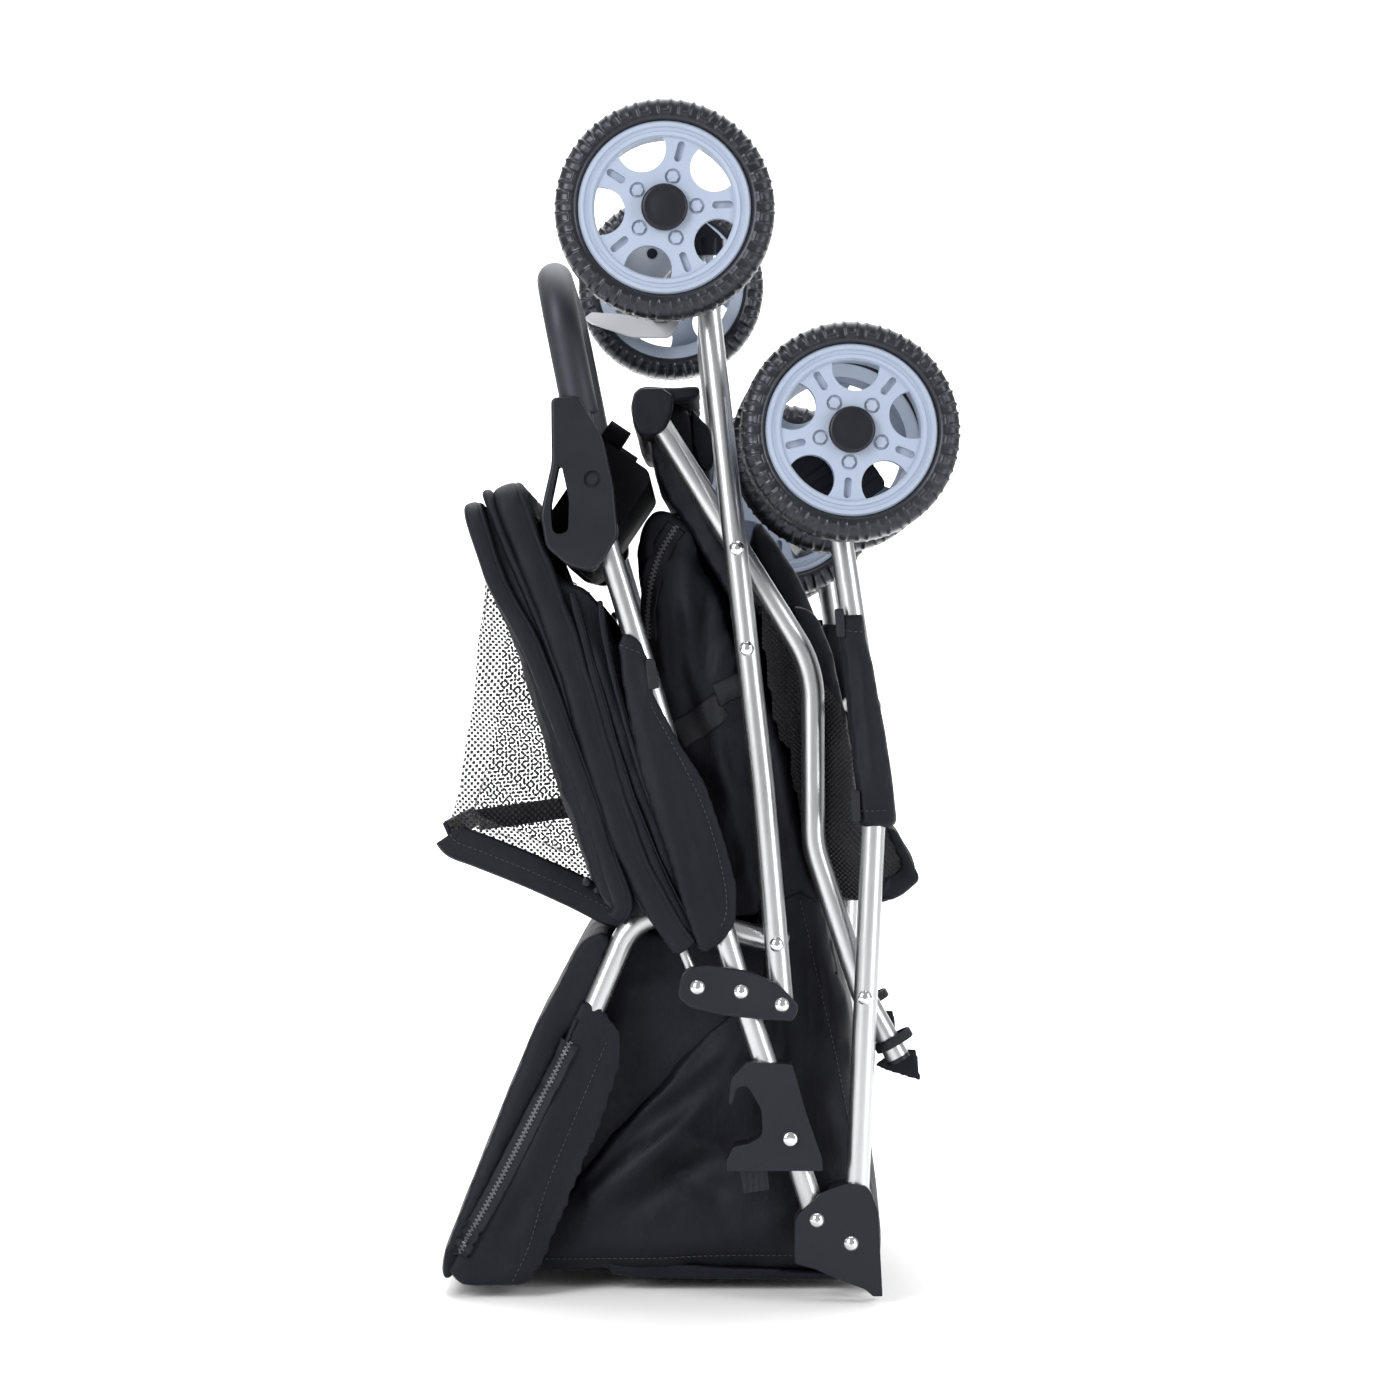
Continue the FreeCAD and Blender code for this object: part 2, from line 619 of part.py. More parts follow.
def caster_wheel_place(side, end, turn):
    """Placement of one twin wheel; end is +1 or -1 along the caster's local Y."""
    local = FreeCAD.Placement(V(CASTER_TRAIL, end * CASTER_HALF, 0),
                              FreeCAD.Rotation(V(0, 0, 1), V(0, end, 0)))
    spin = FreeCAD.Placement(V(0, 0, 0), FreeCAD.Rotation(V(0, 0, 1), turn))
    return caster_place(side, CASTER_YAW[side]).multiply(local).multiply(spin)


# ---------------------------------------------------------------- rear axle group
def rear_bracket(side):
    """Black moulding that ties the leg end to the axle."""
    axle_out = WHEEL_Y - 16.0 - 0.6
    leg_sleeve = rod([V(8.7, side * LEG_Y, 715.0), V(8.7, side * LEG_Y, 727.0)], [], TUBE_R + 2.2)
    arm = slab([(18, 716), (18, 727), (-10, 752), (-34, 752), (-39, 728), (-36, 708), (-24, 707),
                (-14, 717)],
               [2, 8, 10, 12, 12, 4, 4, 6], side * (LEG_Y - 8), side * (LEG_Y + 9))
    boss = pin(REAR_AXLE, side * (LEG_Y + 5), side * axle_out, 12.0)
    body = leg_sleeve.fuse(arm).fuse(boss)
    body = body.cut(rod(side_points(REAR_LEG_LINE, side * LEG_Y), [500.0, 90.0], TUBE_R))
    body = body.cut(pin(REAR_AXLE, side * 100, side * 230, REAR_AXLE_R))
    stub = pin(BRAKE_PIVOT, side * (LEG_Y + 9), side * (LEG_Y + 24), 3.5)
    return body.fuse(stub)


REAR_AXLE_R = 5.0


def rear_axle():
    middle = WHEEL_Y - 16.6
    bar = pin(REAR_AXLE, -middle, middle, REAR_AXLE_R)
    ends = pin(REAR_AXLE, -(WHEEL_Y + 11), WHEEL_Y + 11, AXLE_R)
    return bar.fuse(ends)


def brake_pedal(side):
    """Foot lever pivoted on the bracket between the leg and the wheel."""
    near, far = side * (LEG_Y + 13), side * (LEG_Y + 23)
    lever = slab([(-40, 723), (-20, 722), (-14, 707), (-22, 697), (-52, 697), (-84, 708),
                  (-90, 712), (-84, 716.5), (-58, 715)],
                 [5, 6, 6, 6, 20, 3, 1.5, 3, 12], near, far)
    return lever.cut(pin(BRAKE_PIVOT, side * 150, side * 220, 3.5 + RUN))


# ---------------------------------------------------------------- canopy hoop
HOOP_TOP = (-133.0, 538.0)
HOOP_R = 3.5


def canopy_hoop():
    """Wire hoop pivoted on the three-hole plates."""
    points = [point(HOOP_PIVOT, -LEG_Y), point(HOOP_TOP, -LEG_Y),
              point(HOOP_TOP, LEG_Y), point(HOOP_PIVOT, LEG_Y)]
    hoop = rod(points, [55.0, 55.0], HOOP_R)
    for side in SIDES.values():
        hoop = hoop.fuse(pin(HOOP_PIVOT, side * (LEG_Y - 4), side * (LEG_Y + 4), 8.0))
    for side in SIDES.values():
        hoop = hoop.cut(hole(HOOP_PIVOT, side))
    return hoop.removeSplitter()


# ---------------------------------------------------------------- plain soft solids
def walled(corners, radius, half, wall, shift):
    """Fabric shell: side walls and one wall kept by shifting the inner space along shift."""
    body = slab(corners, radius, -half, half)
    space = slab(corners, radius, -(half - wall), half - wall)
    space.translate(V(shift[0], 0, shift[1]))
    return body.cut(space)


def canopy_fabric():
    """Folded canopy: two side gussets and the roof bundle under the hoop's crown."""
    gusset = [(-14, 256), (-6, 258), (-22, 340), (-74, 474), (-114, 510), (-120, 500), (-60, 360)]
    roof = [(-150, 530), (-147, 551), (-122, 556), (-112, 530), (-102, 482), (-120, 478)]
    hoop_room = rod([point(HOOP_PIVOT, -LEG_Y), point(HOOP_TOP, -LEG_Y), point(HOOP_TOP, LEG_Y),
                     point(HOOP_PIVOT, LEG_Y)], [55.0, 55.0], HOOP_R + 0.1)
    body = slab(roof, 6.0, -168, 168)
    for side in SIDES.values():
        body = body.fuse(slab(gusset, 4.0, side * 155.0, side * 158.0))
    return body.cut(hoop_room)


def mesh_window():
    """Sagging mesh bag that hangs from the front of the hoop."""
    corners = [(-150, 500), (-158, 410), (-172, 325), (-177, 306), (-118, 279), (-72, 252),
               (-58, 262), (-72, 318), (-98, 395), (-142, 492)]
    return walled(corners, [3, 40, 30, 6, 30, 6, 6, 30, 60, 3], 146.0, 2.0, (2.6, 2.2))


def front_panel():
    """Padded front sleeve wrapped round the straight legs and the bar of the cabin rim."""
    corners = [(-97, 187), (-54, 174), (-119, 2), (-170, 2), (-178, 14)]
    body = walled(corners, [4, 5, 5, 7, 5], PANEL_HALF, CLOTH_T, (3.5, 3.0))
    return body.cut(rod(rim_points(), RIM_RADII, TUBE_R + 0.1))


PANEL_HALF = 155.5


def cabin_fabric():
    """Collapsed cabin: side walls, floor and front wall, open towards the rim."""
    corners = [(-46, 236), (50, 226), (84, 266), (99, 245), (108, 164), (131, 3), (-112, 3), (-124, 20)]
    return walled(corners, [6, 30, 8, 12, 60, 8, 6, 6], 128.0, CLOTH_T, (-3.5, 3.0))


def rear_panel():
    """Rear door panel hanging between the handle tubes and the rear legs."""
    corners = [(-12, 476), (6, 482), (24, 400), (40, 320), (40, 294), (26, 292), (10, 340)]
    return slab(corners, [4, 4, 60, 30, 4, 4, 60], -126.0, 126.0)


def basket_mesh():
    """Storage basket squashed between the rails and the front legs."""
    corners = [(57, 468), (74, 474), (98, 448), (104, 332), (134, 318), (157, 300), (157, 272),
               (128, 267), (94, 274), (88, 430)]
    return walled(corners, [3, 4, 20, 12, 20, 10, 10, 20, 12, 40], 130.0, 2.0, (-3.5, 1.2))


def rail_flap():
    """Fabric folded over the rear crossbar of the basket rails."""
    corners = [(-44, 606), (-39, 624), (-22, 628), (8, 625), (9, 619), (-14, 611), (-16, 590), (-40, 586)]
    flap = slab(corners, [8, 6, 6, 2, 2, 5, 4, 5], -152.0, 152.0)
    flap = flap.cut(pin(RAIL_LINE[0], -160, 160, TUBE_R + 0.1))
    for side in SIDES.values():
        flap = flap.cut(rod(side_points(RAIL_LINE, side * RAIL_Y), RAIL_RADII, TUBE_R + 0.1))
    return flap


def handle_sleeves(side):
    """Canopy sleeve wrapped round the handle tube above the plates."""
    low, high = point(HANDLE_LINE[1], side * LEG_Y), point(HANDLE_LINE[2], side * LEG_Y)
    run = (high - low).normalize()
    start = low + run * 72.0
    sleeve = Part.makeCylinder(TUBE_R + 2.0, 182.0, start, run)
    return [sleeve.cut(Part.makeCylinder(TUBE_R + 0.1, 182.0, start, run))]


SLEEVE_HALF = 10.5


def basket_sleeves(side):
    """Basket sleeve on the front leg, flat and wider than the tube."""
    corners = [(102, 469), (116.5, 469), (121, 437), (134, 396), (140, 319), (111, 319), (108, 400)]
    body = slab(corners, [2, 2, 60, 60, 3, 3, 80], side * (LEG_Y - SLEEVE_HALF),
                side * (LEG_Y + SLEEVE_HALF))
    body = body.cut(rod(side_points(FRONT_LEG_LINE, side * LEG_Y), [150.0], TUBE_R + 0.1))
    return [body.cut(pin(CROSSBAR, side * 140, side * 158.2, CROSSBAR_R + 0.1))]


def snap_clips(side):
    """Small press-stud tabs on the basket sleeves."""
    clips = []
    face = side * (LEG_Y + SLEEVE_HALF)
    for x, z in ((101.0, 459.0), (107.5, 336.0)):
        y = min(face, face + side * 2.5)
        clips.append(Part.makeBox(10.0, 2.5, 20.0, V(x - 5.0, y, z - 10.0)))
    return clips


# ---------------------------------------------------------------- build everything
def build_side(name, side):
    leg = front_leg(side).cut(front_leg_end_trim(side))
    save(leg, "front_leg_" + name)
    save(knuckle(side), "knuckle_" + name)
    save(caster_head(side), "caster_head_" + name)
    save(handle_tube(side), "handle_tube_" + name)
    save(pivot_plate(side), "pivot_plate_" + name)
    save(handle_housing(side), "handle_housing_" + name)
    save(lock_slider(side), "lock_slider_" + name)
    save(rear_leg(side), "rear_leg_" + name)
    save(rear_bracket(side), "rear_bracket_" + name)
    save(brake_pedal(side), "brake_pedal_" + name)
    save(rail_side(side), "basket_rail_" + name)
    yoke = place(caster_yoke_shape(), caster_place(side, CASTER_YAW[side]))
    save(yoke, "caster_yoke_" + name)


def build_wheels():
    tyre = tyre_shape()
    rim = rim_shape()
    for name, side in SIDES.items():
        spot = rear_wheel_place(side, 3.0)
        save(place(tyre, spot), "rear_tyre_" + name)
        save(place(rim, spot), "rear_rim_" + name)
        for end, label in ((1, "a"), (-1, "b")):
            spot = caster_wheel_place(side, end, CASTER_SPIN[side])
            save(place(tyre, spot), "front_tyre_" + name + "_" + label)
            save(place(rim, spot), "front_rim_" + name + "_" + label)


def build_shared():
    save(front_crossbar(), "front_crossbar")
    save(both_sides(caster_stem), "caster_stems")
    save(both_sides(front_rivets), "front_rivets")
    save(both_sides(handle_rivets), "handle_rivets")
    save(both_sides(rear_rivets), "rear_rivets")
    save(both_sides(rail_plugs), "rail_plugs")
    save(rear_axle(), "rear_axle")
    save(rail_crossbar(), "rail_crossbar")
    save(cabin_rim_tube(), "cabin_rim_tube")
    save(grip_core(), "grip_core")
    save(handle_grip(), "handle_grip")
    save(parent_tray(), "parent_tray")
    save(canopy_hoop(), "canopy_hoop")


def build_soft():
    save(canopy_fabric(), "canopy_fabric")
    save(mesh_window(), "mesh_window")
    save(front_panel(), "front_panel")
    save(cabin_fabric(), "cabin_fabric")
    save(rear_panel(), "rear_panel")
    save(basket_mesh(), "basket_mesh")
    save(rail_flap(), "rail_flap")
    save(both_sides(handle_sleeves), "handle_sleeves")
    save(both_sides(basket_sleeves), "basket_sleeves")
    save(both_sides(snap_clips), "snap_clips")


os.makedirs("parts", exist_ok=True)
for side_name, side_sign in SIDES.items():
    build_side(side_name, side_sign)
build_wheels()
build_shared()
build_soft()
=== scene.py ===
import math
import json
import bmesh
import bpy
import numpy as np
from mathutils import Matrix, Vector
from mathutils.bvhtree import BVHTree


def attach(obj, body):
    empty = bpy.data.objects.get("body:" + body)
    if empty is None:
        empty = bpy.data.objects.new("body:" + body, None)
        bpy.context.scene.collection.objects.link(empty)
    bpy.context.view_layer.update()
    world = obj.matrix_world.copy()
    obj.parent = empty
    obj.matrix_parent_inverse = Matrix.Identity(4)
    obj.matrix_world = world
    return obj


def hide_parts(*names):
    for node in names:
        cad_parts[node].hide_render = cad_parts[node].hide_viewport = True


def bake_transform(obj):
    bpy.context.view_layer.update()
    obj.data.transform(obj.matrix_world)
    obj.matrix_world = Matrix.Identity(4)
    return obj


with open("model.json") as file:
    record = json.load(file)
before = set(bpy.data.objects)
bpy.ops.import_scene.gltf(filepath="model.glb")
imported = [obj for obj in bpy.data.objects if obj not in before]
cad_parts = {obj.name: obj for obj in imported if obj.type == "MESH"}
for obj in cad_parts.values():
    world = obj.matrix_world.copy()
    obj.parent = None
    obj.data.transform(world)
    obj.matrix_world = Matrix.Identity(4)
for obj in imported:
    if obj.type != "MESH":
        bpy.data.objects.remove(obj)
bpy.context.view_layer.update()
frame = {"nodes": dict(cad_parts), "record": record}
RECORD = frame["record"]
JOINTS = {j["name"]: j for j in RECORD["behaviour"]["joints"]}

# Side-view design positions are in millimetres. The knuckle pivot and the left caster stem tie
# them to the row frame.
KNUCKLE_X, KNUCKLE_Z = 83.0, 52.0
LEG_Y = 162.0
FOLD = JOINTS["frame_fold"]["pos_m"]
STEM = JOINTS["caster_swivel_left"]["pos_m"]
ORIGIN = Vector((KNUCKLE_X - FOLD[0] * 1000, -LEG_Y - STEM[1] * 1000, KNUCKLE_Z - FOLD[2] * 1000))

SIDES = (("left", -1), ("right", 1))
DRAPE_SIDES = ((-1, (0, 1, 0), "left"), (1, (0, -1, 0), "right"))
FLOOR_GAP = 0.0006          # height that cloth keeps above the floor, in metres
PATH_STEPS = 8              # points between two corners of a smooth line
WAVES = 9                   # waves summed in one wrinkle field
CLOTH_FRAMES = 14
CLOTH_TENSION = 15.0
BAND_BOW = 11.0             # corner radius where a canopy band turns over the hoop
DRAPE_START = 0.4           # distance from the middle that draped lines start at, in metres
STITCH_LENGTH, STITCH_GAP, STITCH_R = 2.6, 1.4, 0.38
ZIP_TAPE, ZIP_PITCH = 15, 1.5
SKY_STRENGTH = 0.5
CAMERA_X, CAMERA_Y, CAMERA_Z = 5.5, -2363, 416
CAMERA_LENS = 82.0285714
CAMERA_SHIFT = (-0.002857143, -0.007142857)


def at(x, z, y=0.0):
    """Point of the row frame, in metres, from side-view millimetres."""
    return (Vector((x, y, z)) - ORIGIN) / 1000


# ------------------------------------------------------------------ materials
class Nodes:
    """Short way to add and join shader nodes in one material."""

    def __init__(self, name):
        self.mat = bpy.data.materials.new(name)
        self.mat.use_nodes = True
        self.tree = self.mat.node_tree
        self.shader = self.tree.nodes["Principled BSDF"]
        self.coord = self.tree.nodes.new("ShaderNodeTexCoord").outputs["Object"]

    def add(self, kind, **inputs):
        node = self.tree.nodes.new("ShaderNode" + kind)
        for key, value in inputs.items():
            if hasattr(node, key) and key not in node.inputs:
                setattr(node, key, value)
            else:
                self.put(node.inputs[key.replace("_", " ") if key not in node.inputs else key], value)
        return node

    def put(self, socket, value):
        if isinstance(value, bpy.types.NodeSocket):
            self.tree.links.new(value, socket)
        else:
            socket.default_value = value

    def scaled(self, scale):
        return self.add("Mapping", Vector=self.coord, Scale=scale).outputs["Vector"]

    def noise(self, scale, detail=3.0, stretch=(1, 1, 1), rough=0.5):
        node = self.add("TexNoise", Vector=self.scaled(stretch), Scale=scale, Detail=detail,
                        Roughness=rough)
        return node.outputs["Fac"]

    def math(self, operation, a, b=0.0):
        node = self.tree.nodes.new("ShaderNodeMath")
        node.operation = operation
        self.put(node.inputs[0], a)
        self.put(node.inputs[1], b)
        return node.outputs[0]

    def ramp(self, value, low, high, at_low=0.0, at_high=1.0):
        node = self.tree.nodes.new("ShaderNodeMapRange")
        for key, number in (("From Min", low), ("From Max", high), ("To Min", at_low),
                            ("To Max", at_high)):
            node.inputs[key].default_value = number
        self.put(node.inputs["Value"], value)
        return node.outputs["Result"]

    def blend(self, value, first, second):
        node = self.tree.nodes.new("ShaderNodeMix")
        node.data_type = "RGBA"
        self.put(node.inputs["Factor"], value)
        node.inputs["A"].default_value = (*first, 1)
        node.inputs["B"].default_value = (*second, 1)
        return node.outputs["Result"]

    def bump(self, height, distance, strength=1.0, below=None):
        node = self.tree.nodes.new("ShaderNodeBump")
        node.inputs["Distance"].default_value = distance
        node.inputs["Strength"].default_value = strength
        self.put(node.inputs["Height"], height)
        if below is not None:
            self.put(node.inputs["Normal"], below)
        return node.outputs["Normal"]

    def finish(self, color=None, rough=None, normal=None, **plain):
        for key, value in (("Base Color", color), ("Roughness", rough), ("Normal", normal)):
            if value is not None:
                self.put(self.shader.inputs[key], value)
        for key, value in plain.items():
            self.shader.inputs[key.replace("_", " ")].default_value = value
        return self.mat


COOL = (0.84, 0.87, 1.0, 1.0)          # slightly blue highlights of the dark dyed pieces


def metal(name, dark, light, rough_low, rough_high, stretch):
    n = Nodes(name)
    grain = n.noise(900, 2, stretch)
    cloud = n.noise(14, 3)
    color = n.blend(cloud, dark, light)
    rough = n.ramp(n.math("ADD", n.math("MULTIPLY", grain, 0.6), n.math("MULTIPLY", cloud, 0.4)), 0.3, 0.7,
                   rough_low, rough_high)
    return n.finish(color, rough, n.bump(grain, 0.00002, 0.5), Metallic=1.0)


def moulded(name, dark, light, rough, grain_scale, grain_depth, coat=0.0, gloss=0.5):
    n = Nodes(name)
    grain = n.noise(grain_scale, 2)
    cloud = n.noise(22, 4)
    return n.finish(n.blend(cloud, dark, light), n.ramp(cloud, 0.35, 0.65, rough - 0.05, rough + 0.06),
                    n.bump(grain, grain_depth, 0.8), Coat_Weight=coat, Coat_Roughness=0.25,
                    Specular_IOR_Level=gloss, Specular_Tint=COOL)


def woven(name, dark, light, thread=0.0011, rough=0.5, sheen=0.0, crease=0.0022):
    """Plain-weave polyester: crossing threads, soft creases and a little colour drift."""
    n = Nodes(name)
    turn = 2 * math.pi / thread
    split = n.tree.nodes.new("ShaderNodeSeparateXYZ")
    n.put(split.inputs[0], n.coord)
    across = n.math("ADD", split.outputs["X"], split.outputs["Y"])
    warp = n.math("SINE", n.math("MULTIPLY", across, turn))
    weft = n.math("SINE", n.math("MULTIPLY", split.outputs["Z"], turn))
    weave = n.math("MULTIPLY", warp, weft)
    crumple = n.noise(26, 5, (1, 1, 0.55), 0.62)
    drift = n.noise(9, 3)
    color = n.blend(n.ramp(drift, 0.3, 0.7), dark, light)
    normal = n.bump(crumple, crease, 0.9)
    normal = n.bump(weave, 0.00012, 0.5, normal)
    return n.finish(color, n.ramp(crumple, 0.3, 0.7, rough - 0.06, rough + 0.06), normal,
                    Sheen_Weight=sheen, Sheen_Roughness=0.45, Specular_IOR_Level=0.21, Specular_Tint=COOL)


def netting(name, color, pitch=0.0044, hole_level=-0.25, see_through=True):
    """Mesh cloth: round holes in staggered rows, read from the piece's flat coordinates."""
    n = Nodes(name)
    split = n.tree.nodes.new("ShaderNodeSeparateXYZ")
    n.put(split.inputs[0], n.tree.nodes.new("ShaderNodeTexCoord").outputs["UV"])
    turn = 2 * math.pi
    slant = n.math("ADD", split.outputs["X"], split.outputs["Y"])
    lean = n.math("SUBTRACT", split.outputs["X"], split.outputs["Y"])
    u = n.math("COSINE", n.math("MULTIPLY", slant, turn / pitch))
    v = n.math("COSINE", n.math("MULTIPLY", lean, turn / pitch))
    both = n.math("ADD", u, v)
    wide = n.noise(60, 2)
    color = n.blend(wide, tuple(c * 0.7 for c in color), tuple(c * 1.4 for c in color))
    if see_through:
        n.put(n.shader.inputs["Alpha"], n.math("SUBTRACT", 1.0, n.math("GREATER_THAN", both, hole_level)))
    height = n.math("MULTIPLY", both, 1.0 if see_through else -1.0)
    return n.finish(color, 0.55, n.bump(height, 0.0004, 0.7), Specular_IOR_Level=0.25)


def build_materials():
    return {
        "silver_tube": metal("silver_tube", (0.50, 0.505, 0.52), (0.60, 0.605, 0.62), 0.26, 0.36,
                             (1, 1, 0.06)),
        "chrome_rivet": metal("chrome_rivet", (0.62, 0.63, 0.64), (0.75, 0.76, 0.77), 0.08, 0.18,
                              (1, 1, 1)),
        "zinc_steel": metal("zinc_steel", (0.42, 0.43, 0.44), (0.52, 0.53, 0.54), 0.3, 0.42,
                            (1, 0.06, 1)),
        "black_plastic": moulded("black_plastic", (0.0060, 0.0060, 0.0082), (0.0100, 0.0100, 0.0130),
                                 0.40, 1500, 0.00006,
                                 gloss=0.34),
        "pedal": moulded("pedal", (0.42, 0.43, 0.45), (0.52, 0.53, 0.55), 0.45, 1200, 0.00005),
        "rim": moulded("rim", (0.285, 0.335, 0.425), (0.335, 0.385, 0.475), 0.34, 700, 0.00003, 0.2),
        "tyre": moulded("tyre", (0.0045, 0.0045, 0.0060), (0.0085, 0.0085, 0.0105), 0.34, 1100, 0.00006),
        "foam": moulded("foam", (0.010, 0.010, 0.013), (0.017, 0.017, 0.021), 0.52, 1900, 0.00012),
        "black_fabric": woven("black_fabric", (0.0030, 0.0030, 0.0052), (0.0062, 0.0062, 0.0094)),
        "mesh": netting("mesh", (0.0050, 0.0050, 0.0056)),
        "mesh_dark": netting("mesh_dark", (0.010, 0.010, 0.012), 0.0036, 0.0, False),
        "thread": moulded("thread", (0.020, 0.020, 0.022), (0.036, 0.036, 0.040), 0.45, 2500, 0.0001),
        # Zip teeth: colour much lighter than the dark tape and fabric. This is painted light that lifts
        # the teeth out of the shade they sit in.
        "zip_teeth_painted_light": moulded("zip_teeth_painted_light", (0.055, 0.055, 0.060), (0.085, 0.085, 0.092), 0.34, 1500,
                             0.00004),
        # Parent tray: a darker, rougher and less glossy copy of the black plastic. Its darker colour is
        # painted shade.
        "tray_plastic_shaded": moulded("tray_plastic_shaded", (0.0045, 0.0045, 0.0060), (0.0070, 0.0070, 0.0090), 0.72,
                                1500, 0.00008,
                                gloss=0.06),
        "webbing": woven("webbing", (0.011, 0.011, 0.013), (0.019, 0.019, 0.022), 0.0024, 0.55, 0.0,
                         0.0003),
        "binding": woven("binding", (0.0040, 0.0040, 0.0060), (0.0075, 0.0075, 0.0100), 0.0009, 0.45, 0.0,
                         0.0003),
    }


MATS = build_materials()


def paint_nodes():
    slots = {s["node"]: s["material_slot"] for s in RECORD["subparts"]}
    for name, obj in frame["nodes"].items():
        obj.data.materials.clear()
        # The parent tray takes the darker copy of the black plastic (painted shade) in place of its slot's
        # material.
        obj.data.materials.append(MATS["tray_plastic_shaded" if name == "parent_tray" else slots[name]])


paint_nodes()


# ------------------------------------------------------------------ mesh helpers
def new_object(name, verts, faces, mat, smooth=True):
    mesh = bpy.data.meshes.new(name)
    mesh.from_pydata([tuple(v) for v in verts], [], faces)
    mesh.validate()
    bm = bmesh.new()
    bm.from_mesh(mesh)
    bmesh.ops.recalc_face_normals(bm, faces=bm.faces)
    bm.to_mesh(mesh)
    bm.free()
    mesh.polygons.foreach_set("use_smooth", [smooth] * len(mesh.polygons))
    obj = bpy.data.objects.new(name, mesh)
    bpy.context.collection.objects.link(obj)
    mesh.materials.append(MATS[mat])
    return obj


def applied(obj):
    """Mesh of obj with its modifiers applied in place."""
    graph = bpy.context.evaluated_depsgraph_get()
    graph.update()
    mesh = bpy.data.meshes.new_from_object(obj.evaluated_get(graph))
    obj.modifiers.clear()
    old = obj.data
    obj.data = mesh
    bpy.data.meshes.remove(old)
    return obj


def modified(obj, kind, **settings):
    mod = obj.modifiers.new(kind.lower(), kind)
    for key, value in settings.items():
        setattr(mod, key, value)
    return applied(obj)


def coords(obj):
    co = np.zeros(len(obj.data.vertices) * 3)
    obj.data.vertices.foreach_get("co", co)
    return co.reshape(-1, 3)


def normals(obj):
    no = np.zeros(len(obj.data.vertices) * 3)
    obj.data.vertex_normals.foreach_get("vector", no)
    return no.reshape(-1, 3)


def set_coords(obj, co):
    obj.data.vertices.foreach_set("co", co.ravel())
    obj.data.update()


def catmull(points, steps):
    """Smooth open curve through the points."""
    pts = [Vector(p) for p in points]
    count = len(pts)
    out = []
    for i in range(count - 1):
        p0, p1, p2, p3 = pts[max(i - 1, 0)], pts[i], pts[i + 1], pts[min(i + 2, count - 1)]
        for s in range(steps):
            t = s / steps
            out.append(0.5 * ((2 * p1) + (p2 - p0) * t + (2 * p0 - 5 * p1 + 4 * p2 - p3) * t * t
                              + (3 * p1 - p0 - 3 * p2 + p3) * t ** 3))
    out.append(pts[-1])
    return out


def rounded(outline, radius=5.0):
    """Closed outline with each corner rounded over at most the given distance."""
    steps = 4
    pts = [Vector(p) for p in outline]
    count = len(pts)
    out = []
    for i, p in enumerate(pts):
        before, after = pts[i - 1] - p, pts[(i + 1) % count] - p
        a = p + before.normalized() * min(radius, before.length * 0.45)
        b = p + after.normalized() * min(radius, after.length * 0.45)
        for k in range(steps + 1):
            t = k / steps
            out.append(a * (1 - t) ** 2 + p * (2 * t * (1 - t)) + b * t * t)
    return out


def prism(name, outline, y0, y1, mat, radius=5.0):
    """Closed solid of a side-view outline between two Y planes."""
    pts = rounded(outline, radius)
    count = len(pts)
    verts = [at(p.x, p.y, y0) for p in pts] + [at(p.x, p.y, y1) for p in pts]
    faces = [list(range(count)), list(range(2 * count - 1, count - 1, -1))]
    for i in range(count):
        j = (i + 1) % count
        faces.append([i, i + count, j + count, j])
    return new_object(name, verts, faces, mat)


def wrinkle(co, scale, seed):
    """Smooth pseudo-random field from a few seeded waves, about -1 to 1."""
    rng = np.random.default_rng(seed)
    total = np.zeros(len(co))
    for _ in range(WAVES):
        way = rng.normal(size=3)
        way = way / np.linalg.norm(way)
        size = scale * rng.uniform(0.55, 1.7)
        total += np.sin(co @ way * (2 * math.pi / size) + rng.uniform(0, 6.28)) * rng.uniform(0.3, 1)
    return total / 4.0


def fold_field(co, folds):
    """Sum of fold ridges; each fold is (x0, z0, x1, z1, half width, height) in side-view millimetres."""
    x = co[:, 0] * 1000 + ORIGIN.x
    z = co[:, 2] * 1000 + ORIGIN.z
    total = np.zeros(len(co))
    for x0, z0, x1, z1, width, height in folds:
        dx, dz = x1 - x0, z1 - z0
        length = math.hypot(dx, dz)
        along = ((x - x0) * dx + (z - z0) * dz) / (length * length)
        off = np.abs((x - x0) * dz - (z - z0) * dx) / length
        ends = np.clip(np.minimum(along, 1 - along) * 3 + 0.35, 0, 1)
        ridge = np.exp(-(off / width) ** 2)
        total += height * ridge * ends * ends
    return total / 1000


def cloth_relax(obj, pressure, cap):
    """Short cloth run with a little inner pressure, capped in how far any point moves."""
    rest = coords(obj)
    mod = obj.modifiers.new("cloth", "CLOTH")
    mod.settings.quality = 5
    mod.settings.use_pressure = True
    mod.settings.uniform_pressure_force = pressure
    mod.settings.tension_stiffness = CLOTH_TENSION
    mod.settings.compression_stiffness = CLOTH_TENSION
    mod.settings.shear_stiffness = 5.0
    mod.settings.bending_stiffness = 0.6
    mod.settings.effector_weights.gravity = 0.0
    mod.point_cache.frame_start = 1
    mod.point_cache.frame_end = CLOTH_FRAMES
    scene = bpy.context.scene
    for f in range(1, CLOTH_FRAMES + 1):
        scene.frame_set(f)
    applied(obj)
    scene.frame_set(1)
    moved = coords(obj) - rest
    far = np.linalg.norm(moved, axis=1, keepdims=True)
    limit = np.minimum(1.0, cap / 1000 / np.maximum(far, 1e-9))
    set_coords(obj, rest + moved * limit)


